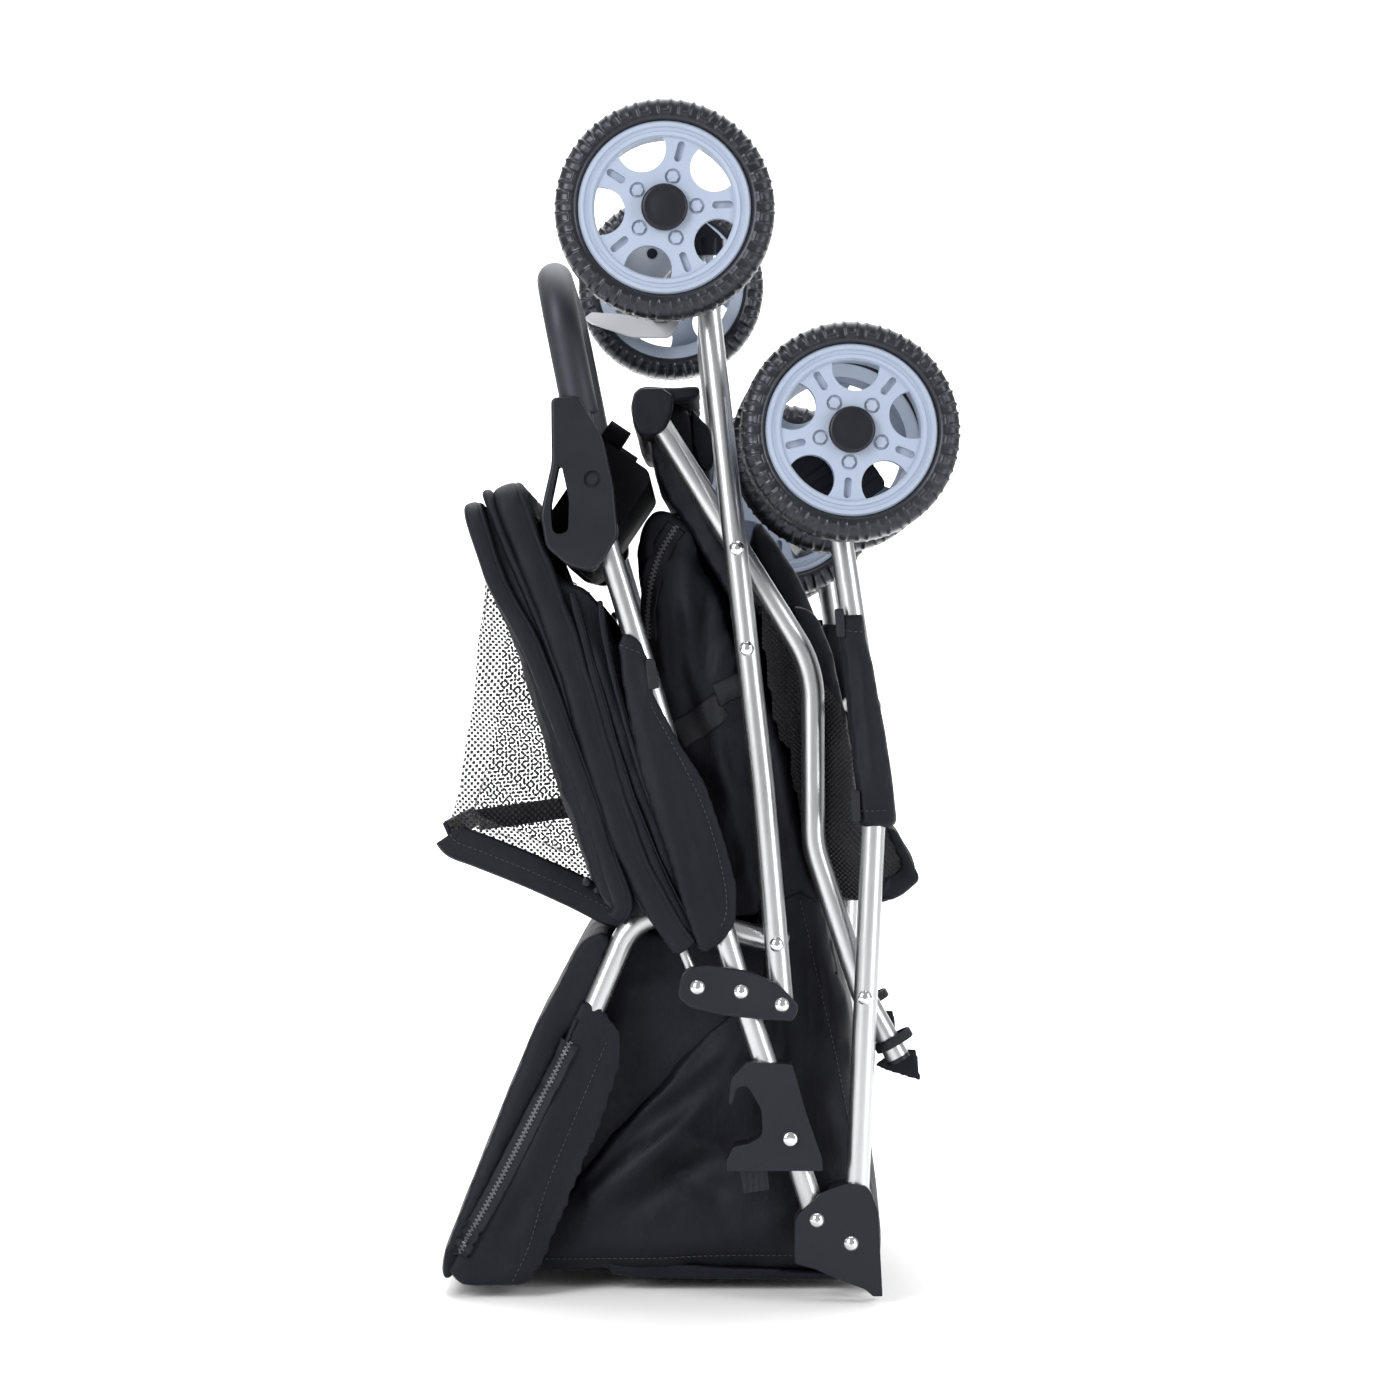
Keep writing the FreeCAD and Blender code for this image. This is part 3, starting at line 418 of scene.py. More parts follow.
def step_field(co, steps):
    """Sum of one-sided steps across lines: (x0, z0, x1, z1, softness, height) in side-view mm."""
    x = co[:, 0] * 1000 + ORIGIN.x
    z = co[:, 2] * 1000 + ORIGIN.z
    total = np.zeros(len(co))
    for x0, z0, x1, z1, width, height in steps:
        dx, dz = x1 - x0, z1 - z0
        length = math.hypot(dx, dz)
        along = ((x - x0) * dx + (z - z0) * dz) / (length * length)
        off = ((x - x0) * dz - (z - z0) * dx) / length
        near = np.exp(-np.clip(np.abs(off) - 4, 0, None) / 26)
        ends = np.clip(np.minimum(along, 1 - along) * 4 + 0.4, 0, 1)
        total += height / (1 + np.exp(-np.clip(off / width, -30, 30))) * near * ends
    return total / 1000


def soft(name, outline, y0, y1, body, replaces=(), folds=(), steps=(), ripple=1.0, grain=34, voxel=4.5,
         mat="black_fabric", puff=0.0, cap=5.0, seed=1, opened=None, wall=1.2, radius=5.0, pillow=0.0):
    """Sewn fabric body: outline carried across Y, folded, puffed, then opened and given a wall."""
    obj = prism(name, outline, y0, y1, mat, radius)
    modified(obj, "REMESH", mode="VOXEL", voxel_size=voxel / 1000)
    co, no = coords(obj), normals(obj)
    side = np.sign(no[:, 1]) * np.clip(np.abs(no[:, 1]) * 1.6 - 0.3, 0, 1)
    co[:, 1] += side * (fold_field(co, folds) + step_field(co, steps))
    if pillow:
        flat = np.clip(1 - np.abs(no[:, 1]), 0, 1)[:, None]
        middle = np.array([0, (y0 + y1) / 2000 - ORIGIN.y / 1000, 0])
        toward = (middle - co) * np.array([0, 1, 0])
        co += np.sign(toward) * np.minimum(np.abs(toward), pillow / 1000) * flat
    co += no * (wrinkle(co, grain / 1000, seed) * ripple / 1000)[:, None]
    set_coords(obj, co)
    if puff:
        cloth_relax(obj, puff, cap)
    if opened is not None:
        bm = bmesh.new()
        bm.from_mesh(obj.data)
        gone = [f for f in bm.faces if opened(f.calc_center_median() * 1000 + ORIGIN, f.normal)]
        bmesh.ops.delete(bm, geom=gone, context="FACES")
        bm.to_mesh(obj.data)
        bm.free()
        if wall:
            modified(obj, "SOLIDIFY", thickness=wall / 1000, offset=-1)
    modified(obj, "SUBSURF", levels=1, render_levels=1)
    clamp_floor(obj)
    obj.data.polygons.foreach_set("use_smooth", [True] * len(obj.data.polygons))
    if mat.startswith("mesh"):
        flat_uv(obj)
    if isinstance(body, tuple):
        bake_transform(obj)
    else:
        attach(obj, body)
    if replaces:
        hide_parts(*replaces)
    return obj


def clamp_floor(obj):
    co = coords(obj)
    co[:, 2] = np.maximum(co[:, 2], FLOOR_GAP)
    set_coords(obj, co)


def flat_uv(obj):
    """Mesh-net coordinates in metres: Z against X on side faces, Z against Y on the others."""
    layer = obj.data.uv_layers.new(name="net")
    verts = obj.data.vertices
    for poly in obj.data.polygons:
        across = 0 if abs(poly.normal.y) > 0.6 else 1
        turned = poly.normal.y > 0.6
        for loop in poly.loop_indices:
            co = verts[obj.data.loops[loop].vertex_index].co
            wave = 0.0012 * math.sin(co.z * 95 + co.x * 40)
            u, v = co[across] + wave, co.z + wave
            layer.data[loop].uv = (0.8 * u - 0.6 * v, 0.6 * u + 0.8 * v) if turned else (u, v)


PUFFED = [(-0.5, 0.0), (-0.46, 0.55), (-0.34, 0.92), (-0.12, 1.0), (0.1, 0.96), (0.24, 0.86), (0.28, 0.66),
          (0.32, 0.84), (0.43, 0.62), (0.5, 0.0), (0.36, -0.5), (0.0, -0.6), (-0.36, -0.5)]
ROUND = [(0.5 * math.cos(a * math.pi / 6), math.sin(a * math.pi / 6)) for a in range(12)]


def band(name, side_path, y, width, thick, body, profile=PUFFED, seed=0, ripple=0.5, over=True):
    """Sewn band up the left side, over the top and down the right side, or two separate sides."""
    left = [Vector((p.x, -y, p.y)) for p in catmull([(x, z, 0) for x, z in side_path][::-1], 6)]
    widths = width if isinstance(width, tuple) else (width, width)
    flat = []
    for i, p in enumerate(left):
        run = left[min(i + 1, len(left) - 1)] - left[max(i - 1, 0)]
        flat.append(Vector((run.z, 0, -run.x)).normalized())
    size = [widths[0] + (widths[1] - widths[0]) * i / (len(left) - 1) for i in range(len(left))]
    frames = [(p, w, Vector((0, -1, 0)), s) for p, w, s in zip(left, flat, size)]
    objs = []
    if over:
        top, across = left[-1], flat[-1]
        up = Vector((-across.z, 0, across.x))
        turn = [math.radians(a) for a in range(10, 91, 10)]
        for a in turn:
            p = top + up * (BAND_BOW * math.sin(a)) + Vector((0, BAND_BOW * (1 - math.cos(a)), 0))
            frames.append((p, across, (up * math.sin(a) - Vector((0, math.cos(a), 0))).normalized(),
                           size[-1]))
        runs = 14
        span = 2 * (y - BAND_BOW)
        for k in range(1, runs):
            p = top + up * BAND_BOW + Vector((0, BAND_BOW + span * k / runs, 0))
            frames.append((p, across, up, size[-1]))
        frames = frames + [(Vector((p.x, -p.y, p.z)), w, Vector((n.x, -n.y, n.z)), s) for p, w, n,
                           s in frames[len(left) + len(turn) - 1::-1]]
        objs.append((name, frames))
    else:
        objs.append((name + "_left", frames))
        objs.append((name + "_right", [(Vector((p.x, -p.y, p.z)), w, Vector((0, 1, 0)), s) for p, w, n,
                                       s in frames]))
    made = []
    for label, spots in objs:
        verts, faces = [], []
        k = len(profile)
        for p, w, n, s in spots:
            for a, b in profile:
                verts.append(at(p.x, p.z, p.y) + w * (a * s / 1000) + n * (b * thick / 1000))
        for i in range(len(spots) - 1):
            for j in range(k):
                a, b = i * k + j, i * k + (j + 1) % k
                faces.append([a, b, b + k, a + k])
        faces.append(list(range(k)))
        faces.append(list(range((len(spots) - 1) * k, len(spots) * k))[::-1])
        obj = new_object(label, verts, faces, "black_fabric")
        modified(obj, "SUBSURF", levels=1, render_levels=1)
        co, no = coords(obj), normals(obj)
        co += no * (wrinkle(co, 0.03, 50 + seed) * ripple / 1000)[:, None]
        set_coords(obj, co)
        clamp_floor(obj)
        obj.data.polygons.foreach_set("use_smooth", [True] * len(obj.data.polygons))
        if isinstance(body, tuple):
            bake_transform(obj)
        else:
            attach(obj, body)
        made.append(obj)
    return made


def tree_of(*objs):
    verts, faces = [], []
    for obj in objs:
        base = len(verts)
        verts.extend(v.co.copy() for v in obj.data.vertices)
        faces.extend([base + i for i in p.vertices] for p in obj.data.polygons)
    return BVHTree.FromPolygons(verts, faces)


def drape(points, tree, lift, way=(0, 1, 0)):
    """Side-view points dropped onto a surface from outside; gives positions and surface normals."""
    way = Vector(way)
    out = []
    for x, z in points:
        start = at(x, z)
        start -= way * (DRAPE_START + start.dot(way))
        hit, normal, _, _ = tree.ray_cast(start, way)
        if hit is None:
            if out:
                out.append((Vector((start.x, out[-1][0].y, start.z)), out[-1][1]))
            continue
        if normal.dot(way) > 0:
            normal = -normal
        out.append((hit + normal * lift / 1000, normal))
    return out


def ribbon(name, spots, width, thick, body, mat="binding"):
    """Flat strip with rounded edges that follows positions and surface normals."""
    verts, faces = [], []
    count = len(spots)
    profile = [(-0.5, 0), (-0.42, 1), (0.42, 1), (0.5, 0), (0.42, -0.3), (-0.42, -0.3)]
    for i, (p, normal) in enumerate(spots):
        ahead = spots[min(i + 1, count - 1)][0] - spots[max(i - 1, 0)][0]
        if ahead.length < 1e-9:
            ahead = Vector((0, 0, 1))
        across = ahead.cross(normal).normalized()
        for a, b in profile:
            verts.append(p + across * (a * width / 1000) + normal * (b * thick / 1000))
    k = len(profile)
    for i in range(count - 1):
        for j in range(k):
            a, b = i * k + j, i * k + (j + 1) % k
            faces.append([a, b, b + k, a + k])
    faces.append(list(range(k)))
    faces.append(list(range((count - 1) * k, count * k))[::-1])
    obj = new_object(name, verts, faces, mat)
    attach(obj, body)
    return obj


def resample(spots, step):
    """Positions and normals at even steps, in millimetres, along a path."""
    out = [spots[0]]
    left = step / 1000
    for (p, n), (q, m) in zip(spots, spots[1:]):
        span = (q - p).length
        gone = 0.0
        while span - gone >= left:
            gone += left
            t = gone / span
            out.append((p.lerp(q, t), n.lerp(m, t).normalized()))
            left = step / 1000
        left -= span - gone
    return out


def stitches(name, spots, body):
    """Row of sewn stitches, one short rounded bar each."""
    verts, faces = [], []
    marks = resample(spots, STITCH_LENGTH + STITCH_GAP)
    for (p, n), (q, _) in zip(marks, marks[1:]):
        run = (q - p).normalized()
        across = run.cross(n).normalized()
        r = STITCH_R / 1000
        base = len(verts)
        for along, size in ((0.0, 0.5), (0.25, 1.0), (0.75, 1.0), (1.0, 0.5)):
            centre = p + run * (along * STITCH_LENGTH / 1000) + n * (0.25 / 1000)
            for k in range(5):
                turn = 2 * math.pi * k / 5
                verts.append(centre + (across * math.cos(turn) + n * math.sin(turn)) * r * size)
        for ring in range(3):
            for k in range(5):
                a, b = base + ring * 5 + k, base + ring * 5 + (k + 1) % 5
                faces.append([a, b, b + 5, a + 5])
        faces.append([base + k for k in range(5)][::-1])
        faces.append([base + 15 + k for k in range(5)])
    obj = new_object(name, verts, faces, "thread")
    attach(obj, body)
    return obj


def zipper(name, spots, body):
    """Coil zip: a tape with two staggered rows of teeth along it."""
    tape = ribbon(name + "_tape", spots, ZIP_TAPE, 0.4, body)
    verts, faces = [], []
    for i, (p, n) in enumerate(resample(spots, ZIP_PITCH)[:-1]):
        run = direction_near(spots, p)
        across = run.cross(n).normalized()
        shift = across * (0.0007 if i % 2 else -0.0007)
        base = len(verts)
        for a in (-1, 1):
            for b in (-1, 1):
                for c in (0, 1):
                    spot = p + shift + run * (a * 0.00055) + across * (b * 0.0013)
                    verts.append(spot + n * (0.0003 + c * 0.0011))
        for face in ((0, 1, 3, 2), (4, 6, 7, 5), (0, 4, 5, 1), (2, 3, 7, 6), (1, 5, 7, 3), (0, 2, 6, 4)):
            faces.append([base + k for k in face])
    # The teeth take the lightened teeth colour, painted light against the shade around the zip.
    teeth = new_object(name + "_teeth", verts, faces, "zip_teeth_painted_light", smooth=False)
    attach(teeth, body)
    return tape, teeth


def direction_near(spots, p):
    """Direction of the path near p."""
    best = min(range(len(spots) - 1), key=lambda i: ((spots[i][0] + spots[i + 1][0]) / 2 - p).length)
    return (spots[best + 1][0] - spots[best][0]).normalized()


def path(points):
    return [(p.x, p.y) for p in catmull([(x, z, 0) for x, z in points], PATH_STEPS)]


# ------------------------------------------------------------------ wheels
TYRE_R, BEAD_R, TYRE_HALF = 75.0, 58.2, 17.0
LUGS = 30
LUG_STEPS = 20


def tyre_profile():
    """Half of the tyre's section from the rim seat to the middle of the tread, as (radius, half width)."""
    points = [(58.3, 12.6), (59.6, 15.0), (61.8, 16.2), (65.0, 16.2), (68.6, 15.3), (71.6, 13.2),
              (73.4, 10.2), (74.0, 6.0), (74.1, 0.0)]
    return [(p.x, p.y) for p in catmull([(r, w, 0) for r, w in points], 5)]


def lug_height(turn, reach):
    """Raised outline of one shoulder block, narrower towards the hub; turn is 0..1 across the block."""
    u = abs(turn - 0.5) * 2
    edge = 0.78 - 0.014 * max(reach - 8.0, 0.0)
    block = 1 / (1 + math.exp((u - edge) * 24))
    start = 1 / (1 + math.exp(-(reach - 7.0) * 1.4))
    stop = 1 / (1 + math.exp((reach - 23.0) * 1.8))
    side = math.exp(-((u - edge + 0.16) / 0.12) ** 2) * start * stop
    end = math.exp(-((reach - 21.8) / 1.0) ** 2) * block
    tread = 0.25 * block * (1 - start)
    return 0.95 * max(side, end) + tread - 0.45 * (1 - block) * (0.35 + 0.65 * start) * stop


def tyre_mesh():
    half = tyre_profile()
    section = half + [(r, -w) for r, w in half[-2::-1]]
    length = [0.0]
    for (r0, w0), (r1, w1) in zip(section, section[1:]):
        length.append(length[-1] + math.hypot(r1 - r0, w1 - w0))
    middle = length[len(half) - 1]
    around = LUGS * LUG_STEPS
    verts = []
    count = len(section)
    for a in range(around):
        angle = 2 * math.pi * a / around
        for i, (r, w) in enumerate(section):
            before, after = section[max(i - 1, 0)], section[min(i + 1, count - 1)]
            dr, dw = after[0] - before[0], after[1] - before[1]
            size = math.hypot(dr, dw)
            reach = abs(length[i] - middle)
            phase = (a / LUG_STEPS + (0.5 if length[i] > middle else 0.0)) % 1
            lift = lug_height(phase, reach)
            rr, ww = r - dw / size * lift, w + dr / size * lift
            verts.append((rr * math.cos(angle) / 1000, rr * math.sin(angle) / 1000, ww / 1000))
    for a in range(around):
        angle = 2 * math.pi * a / around
        for w in (-12.0, 12.0):
            verts.append((BEAD_R * 0.995 * math.cos(angle) / 1000, BEAD_R * 0.995 * math.sin(angle) / 1000,
                          w / 1000))
    faces = []
    for a in range(around):
        b = (a + 1) % around
        for i in range(count - 1):
            faces.append([a * count + i, b * count + i, b * count + i + 1, a * count + i + 1])
        low, high = around * count + a * 2, around * count + b * 2
        faces.append([low, low + 1, high + 1, high])
        faces.append([low + 1, a * count, b * count, high + 1])
        faces.append([low, high, b * count + count - 1, a * count + count - 1])
    return new_object("tyre_master", verts, faces, "tyre").data


def lathe(name, profile, mat, segments=64):
    """Closed turned piece about local Z from (radius, height) in mm, from axis to axis."""
    verts, faces = [], []
    inner = profile[1:-1]
    verts.append((0, 0, profile[0][1] / 1000))
    for r, h in inner:
        for s in range(segments):
            turn = 2 * math.pi * s / segments
            verts.append((r * math.cos(turn) / 1000, r * math.sin(turn) / 1000, h / 1000))
    verts.append((0, 0, profile[-1][1] / 1000))
    last = len(verts) - 1
    for s in range(segments):
        t = (s + 1) % segments
        faces.append([0, 1 + t, 1 + s])
        for ring in range(len(inner) - 1):
            a, b = 1 + ring * segments, 1 + (ring + 1) * segments
            faces.append([a + s, a + t, b + t, b + s])
        base = 1 + (len(inner) - 1) * segments
        faces.append([last, base + s, base + t])
    return new_object(name, verts, faces, mat).data


def facing(pos, axis):
    """Placement with local Z along the axis."""
    z = Vector(axis).normalized()
    return Matrix.Translation(Vector(pos)) @ z.to_track_quat("Z", "Y").to_matrix().to_4x4()


def placed(name, mesh, matrix, body):
    obj = bpy.data.objects.new(name, mesh)
    bpy.context.collection.objects.link(obj)
    obj.matrix_world = matrix
    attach(obj, body)
    return obj


def build_wheels():
    tyre = tyre_mesh()
    bpy.data.objects.remove(bpy.data.objects["tyre_master"])
    cap = lathe("cap_master", [(0, 12.2), (15.5, 12.2), (15.7, 17.0), (15.2, 18.1), (13.4, 18.9),
                               (12.6, 18.7), (8.0, 19.5), (0, 19.8)], "black_plastic")
    bpy.data.objects.remove(bpy.data.objects["cap_master"])
    for side, sign in SIDES:
        joint = JOINTS["rear_spin_" + side]
        wheels = [("rear", side, joint, Vector((0, sign, 0)))]
        for end, way in (("a", 1), ("b", -1)):
            spin = JOINTS["front_spin_%s_%s" % (side, end)]
            wheels.append(("front", side + "_" + end, spin, Vector(spin["axis"]) * way))
        for group, tag, spin, out in wheels:
            matrix = facing(spin["pos_m"], out)
            body = "%s_wheel_%s" % (group, tag)
            node = "%s_tyre_%s" % (group, tag)
            piece = placed("tyre_" + group + "_" + tag, tyre, matrix, body)
            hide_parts(node)
            placed("hub_cap_" + group + "_" + tag, cap, matrix, body)


build_wheels()


# ------------------------------------------------------------------ soft goods
def build_cabin():
    """Collapsed cabin under the rim: a recessed back, a folded side and the zipped floor edge."""
    back = [(-88, 47), (-82, 150), (-72, 212), (-42, 248), (17, 244), (66, 262), (88, 262), (100, 225),
            (108, 160), (120, 80), (128, 12), (-100, 12)]
    soft("cabin_inner", back, -119, 119, "cabin_rim", (),
         [(-60, 205, 30, 215, 6, 2), (-70, 120, -40, 230, 9, 3)],
         ripple=1.2, seed=2, opened=lambda p, n: n.z > 0.5 and p.z > 215)
    outline = [(-93, 62), (-67, 94), (-39, 125), (-4, 164), (22, 186), (46, 203), (52, 262), (73, 278),
               (88, 266), (98, 223), (108, 190), (111, 129), (121, 94), (129, 15), (130, 5), (115, 7),
               (-39, 9), (-110, 9), (-122, 14), (-118, 30)]
    folds = [(-95, 58, 16, 180, 4, 5), (-44, 112, 32, 176, 6, 6), (-96, 46, 12, 122, 12, 8),
             (-70, 14, 60, 34, 15, 4), (-30, 82, 30, 60, 10, -5), (60, 262, 66, 120, 6, 5),
             (78, 262, 84, 150, 5, -4), (86, 240, 104, 120, 6, 4), (20, 150, 60, 196, 7, 4),
             (-60, 44, 30, 100, 7, -5), (40, 30, 104, 90, 12, 4), (-10, 104, 24, 90, 7, 4),
             (-60, 60, 20, 140, 5, 3)]
    side = soft("cabin_fabric_cover", outline, -124, 124, "cabin_rim", ["cabin_fabric"], folds,
                [(-93, 62, 22, 186, 2, -1.5)], 1.0, 46, puff=1.5, cap=4, seed=3, opened=lambda p,
                n: n.z > 0.5 and p.z > 215)
    strip = [(-66, 15), (-59, 5), (-39, 2.4), (3, 1.6), (59, 1.2), (119, 1), (128, 3), (59, 9), (3, 12)]
    soft("cabin_floor_edge", strip, -122.5, 122.5, "cabin_rim", (), (), (), 0.4, voxel=3, seed=4, radius=3)
    tree = tree_of(side)
    seam = drape(path([(-39, 125), (-4, 164), (22, 186)]), tree, 0.3)
    ribbon("cabin_crease_binding", seam, 3.2, 0.8, "cabin_rim")
    edge = drape(path([(-110, 17), (-39, 18), (30, 20), (110, 19)]), tree, 0.3)
    stitches("cabin_edge_stitch", edge, "cabin_rim")
    patch = drape(path([(73, 268), (92, 186), (104, 128), (116, 60)]), tree, 0.3)
    stitches("cabin_back_stitch", patch, "cabin_rim")


def build_front_panel():
    wall = [(-176, 3), (-178, 12), (-176, 24), (-163, 57), (-137, 123), (-112, 183), (-97, 210),
            (-89, 226), (-81, 240), (-70, 248), (-57, 247), (-64, 231), (-75, 200), (-91, 172),
            (-116, 123), (-151, 54), (-166, 10)]
    soft("front_wall", wall, -148, 148, "cabin_rim", (), [(-170, 24, -92, 206, 4, 2)], (), 0.9, seed=6,
         radius=4)
    outline = [(-69, 199), (-58, 190), (-51, 177), (-50, 165), (-54, 146), (-67, 111), (-80, 80),
               (-94, 46), (-105, 20), (-114, 5), (-123, 2), (-157, 2), (-166, 5), (-172, 13), (-152, 52),
               (-122, 111), (-94, 163), (-85, 190), (-79, 203)]
    folds = [(-122, 70, -92, 140, 6, 3), (-112, 20, -66, 130, 5, -1.8), (-150, 24, -74, 184, 9, 2.6),
             (-134, 34, -118, 70, 5, -2.4), (-140, 12, -112, 12, 5, 1.6)]
    leaf = soft("front_panel_cover", outline, -153, 153, "cabin_rim", ["front_panel"], folds, (), 0.8, 60,
                opened=lambda p, n: n.x > 0.55, seed=5)
    tree = tree_of(leaf)
    for way, tag in (((0, 1, 0), "left"), ((0, -1, 0), "right")):
        zipper("front_zip_" + tag, drape(path([(-87, 172), (-97, 151), (-108, 130), (-121, 104),
                                               (-135, 77), (-147, 55), (-158, 36), (-164, 24)]), tree, 0.3,
                                         way), "cabin_rim")
        line = drape(path([(-62, 172), (-80, 129), (-103, 73), (-116, 30), (-128, 5)]), tree, 0.3, way)
        stitches("front_seam_" + tag, line, "cabin_rim")
        line = drape(path([(-83, 188), (-92, 166), (-104, 145), (-129, 98), (-150, 57), (-166, 26)]), tree,
                     0.3, way)
        ribbon("front_piping_" + tag, line, 3.4, 1.6, "cabin_rim")


CANOPY_SIDE = [(-150, 530), (-143, 545), (-131, 551), (-121, 549), (-113, 540), (-110, 524), (-106, 508),
               (-92, 492), (-76, 486), (-62, 468), (-58, 450), (-44, 410), (-36, 370), (-14, 310),
               (-2, 270), (0, 240), (-7, 238), (-19, 249), (-39, 262), (-51, 256), (-66, 272), (-94, 350),
               (-121, 440), (-143, 502)]


def build_canopy():
    """Folded canopy: bundle under the hoop, three sewn bands over it and the side gussets."""
    folds = [(-118, 520, -30, 262, 4, 3.5), (-100, 490, -14, 250, 5, -4), (-78, 470, -8, 262, 5, 4),
             (-66, 440, -20, 300, 4, -3), (-56, 420, -12, 290, 4, 2.5)]
    soft("canopy_cover", CANOPY_SIDE, -164, 164, "canopy", ["canopy_fabric"], folds, (), 1.0, 40, seed=7,
         opened=lambda p, n: n.x > 0.35 and abs(p.y) < 150, puff=1.2, cap=3)
    front = [(-150, 529), (-146, 516), (-135, 486), (-114, 448), (-94, 397), (-73, 340), (-58, 294),
             (-50, 270), (-55, 258)]
    band("canopy_front_hem", front, 166, (16, 15), 7, "canopy", seed=1)
    pipe = [(-140, 541), (-134, 526), (-120, 492), (-99, 442), (-80, 385), (-61, 330), (-43, 284),
            (-35, 262)]
    band("canopy_piping", pipe, 167, (8, 8), 4, "canopy", ROUND, seed=2)
    main = [(-125, 541), (-116, 517), (-102, 481), (-81, 419), (-64, 361), (-45, 306), (-23, 262),
            (-6, 238)]
    band("canopy_main_band", main, 168, (20, 24), 7.5, "canopy", seed=3, ripple=0.8)
    inner = [(-86, 484), (-80, 462), (-66, 410), (-49, 352), (-28, 298), (-8, 256), (0, 240)]
    band("canopy_inner_fold", inner, 166, (13, 6), 5.5, "canopy", seed=4, over=False, ripple=0.8)
    last = [(-66, 478), (-63, 452), (-50, 400), (-33, 348), (-13, 298), (2, 256), (6, 238)]
    band("canopy_back_fold", last, 168, (11, 4), 4, "canopy", seed=5, over=False, ripple=0.8)


PETAL = [(-50, 457), (-39, 452), (-30, 431), (-29, 413), (-14, 385), (6, 354), (19, 316), (28, 282),
         (27, 256), (18, 243), (5, 233), (-1, 243), (-17, 292), (-39, 361), (-50, 416), (-54, 448)]


def build_petals():
    for side, way, tag in DRAPE_SIDES:
        low, high = sorted((side * 170.6, side * 176.6))
        folds = [(-44, 430, -2, 262, 6, 2.4), (-22, 390, 12, 270, 7, 2.2), (-34, 440, -30, 400, 4, 1.6)]
        leaf = soft("canopy_gusset_" + tag, PETAL, low, high, "handle_frame",
                    ["handle_sleeves"] if side < 0 else (), folds, (), 0.7, 40, voxel=3.2, seed=40 + side,
                    pillow=1.2)
        tree = tree_of(leaf)
        seam = drape(path([(-31, 405), (-11, 369), (6, 333), (18, 292), (21, 265), (15, 250)]), tree, 0.2,
                     way)
        stitches("gusset_stitch_" + tag, seam, "handle_frame")
        hem = drape(path([(-52, 447), (-45, 444), (-37, 441)]), tree, 0.2, way)
        stitches("gusset_hem_stitch_" + tag, hem, "handle_frame")
        y0, y1 = sorted((side * 174.5, side * 178.5))
        soft("gusset_snap_" + tag, [(-35, 438), (-28, 437), (-25, 417), (-33, 416)], y0, y1,
             "handle_frame", (), (), (), 0.1, voxel=1.2, mat="webbing", seed=42, radius=1.5)


def build_bag():
    outline = [(-146, 514), (-149, 479), (-157, 409), (-165, 347), (-173, 324), (-172, 318), (-136, 304),
               (-95, 286), (-67, 275), (-54, 270), (-63, 310), (-81, 360), (-105, 423), (-130, 479)]
    bag = soft("mesh_window_cover", outline, -142, 142, "canopy", ["mesh_window"],
               [(-120, 300, -132, 420, 9, 4), (-160, 330, -150, 440, 7, -3), (-146, 440, -112, 400, 6, 3)],
               (), 2.4, 55, mat="mesh", opened=lambda p, n: n.x > 0.45 and n.z > -0.2, wall=0, seed=9,
               radius=3)
    tree = tree_of(bag)
    hem = [(-171, 316), (-166, 310), (-150, 304), (-115, 290), (-84, 276), (-60, 264), (-52, 263)]
    for tag, side in SIDES:
        low_edge = hem if side < 0 else [(-172, 314), (-150, 317), (-115, 322), (-84, 326)]
        line = [(at(p[0], p[1], side * 143), Vector((0, side, 0))) for p in path(low_edge)]
        ribbon("bag_hem_" + tag, line, 24 if side < 0 else 17, 2.2, "canopy", "black_fabric")
        raised = [(p + n * 0.0023, n) for p, n in line]
        stitches("bag_hem_stitch_" + tag, raised, "canopy")
        back_line = [(-137, 480), (-112, 428), (-90, 372), (-72, 320), (-62, 285)] if side < 0 else \
            [(-92, 410), (-84, 370), (-77, 320), (-71, 276)]
        back = [(at(p[0], p[1], side * 144), Vector((0, side, 0))) for p in path(back_line)]
        ribbon("bag_back_band_" + tag, back, 8 if side < 0 else 17, 0.8, "canopy", "binding")
        for k, (x, z) in enumerate(((-76, 283), (-69, 277), (-61, 270))):
            cap_disc("bag_zip_end_%s_%d" % (tag, k), x, z, side * 147.5, side, 3.4 if k != 1 else 2.2, 2.4,
                     "canopy")
    front = [(at(-172, 318, y), Vector((-0.9, 0, -0.4)).normalized()) for y in range(-142, 143, 12)]
    ribbon("bag_front_hem", front, 15, 2.2, "canopy", "black_fabric")
    return tree


def cap_disc(name, x, z, y, side, radius, height, body, mat="black_plastic"):
    """Small domed plastic disc facing outward."""
    profile = [(0, 0), (radius, 0), (radius * 1.02, height * 0.5), (radius * 0.8, height * 0.9),
               (radius * 0.3, height), (0, height)]
    mesh = lathe(name + "_m", profile, mat, 20)
    bpy.data.objects.remove(bpy.data.objects[name + "_m"])
    mesh.name = name
    return placed(name, mesh, facing(at(x, z, y), (0, side, 0)), body)


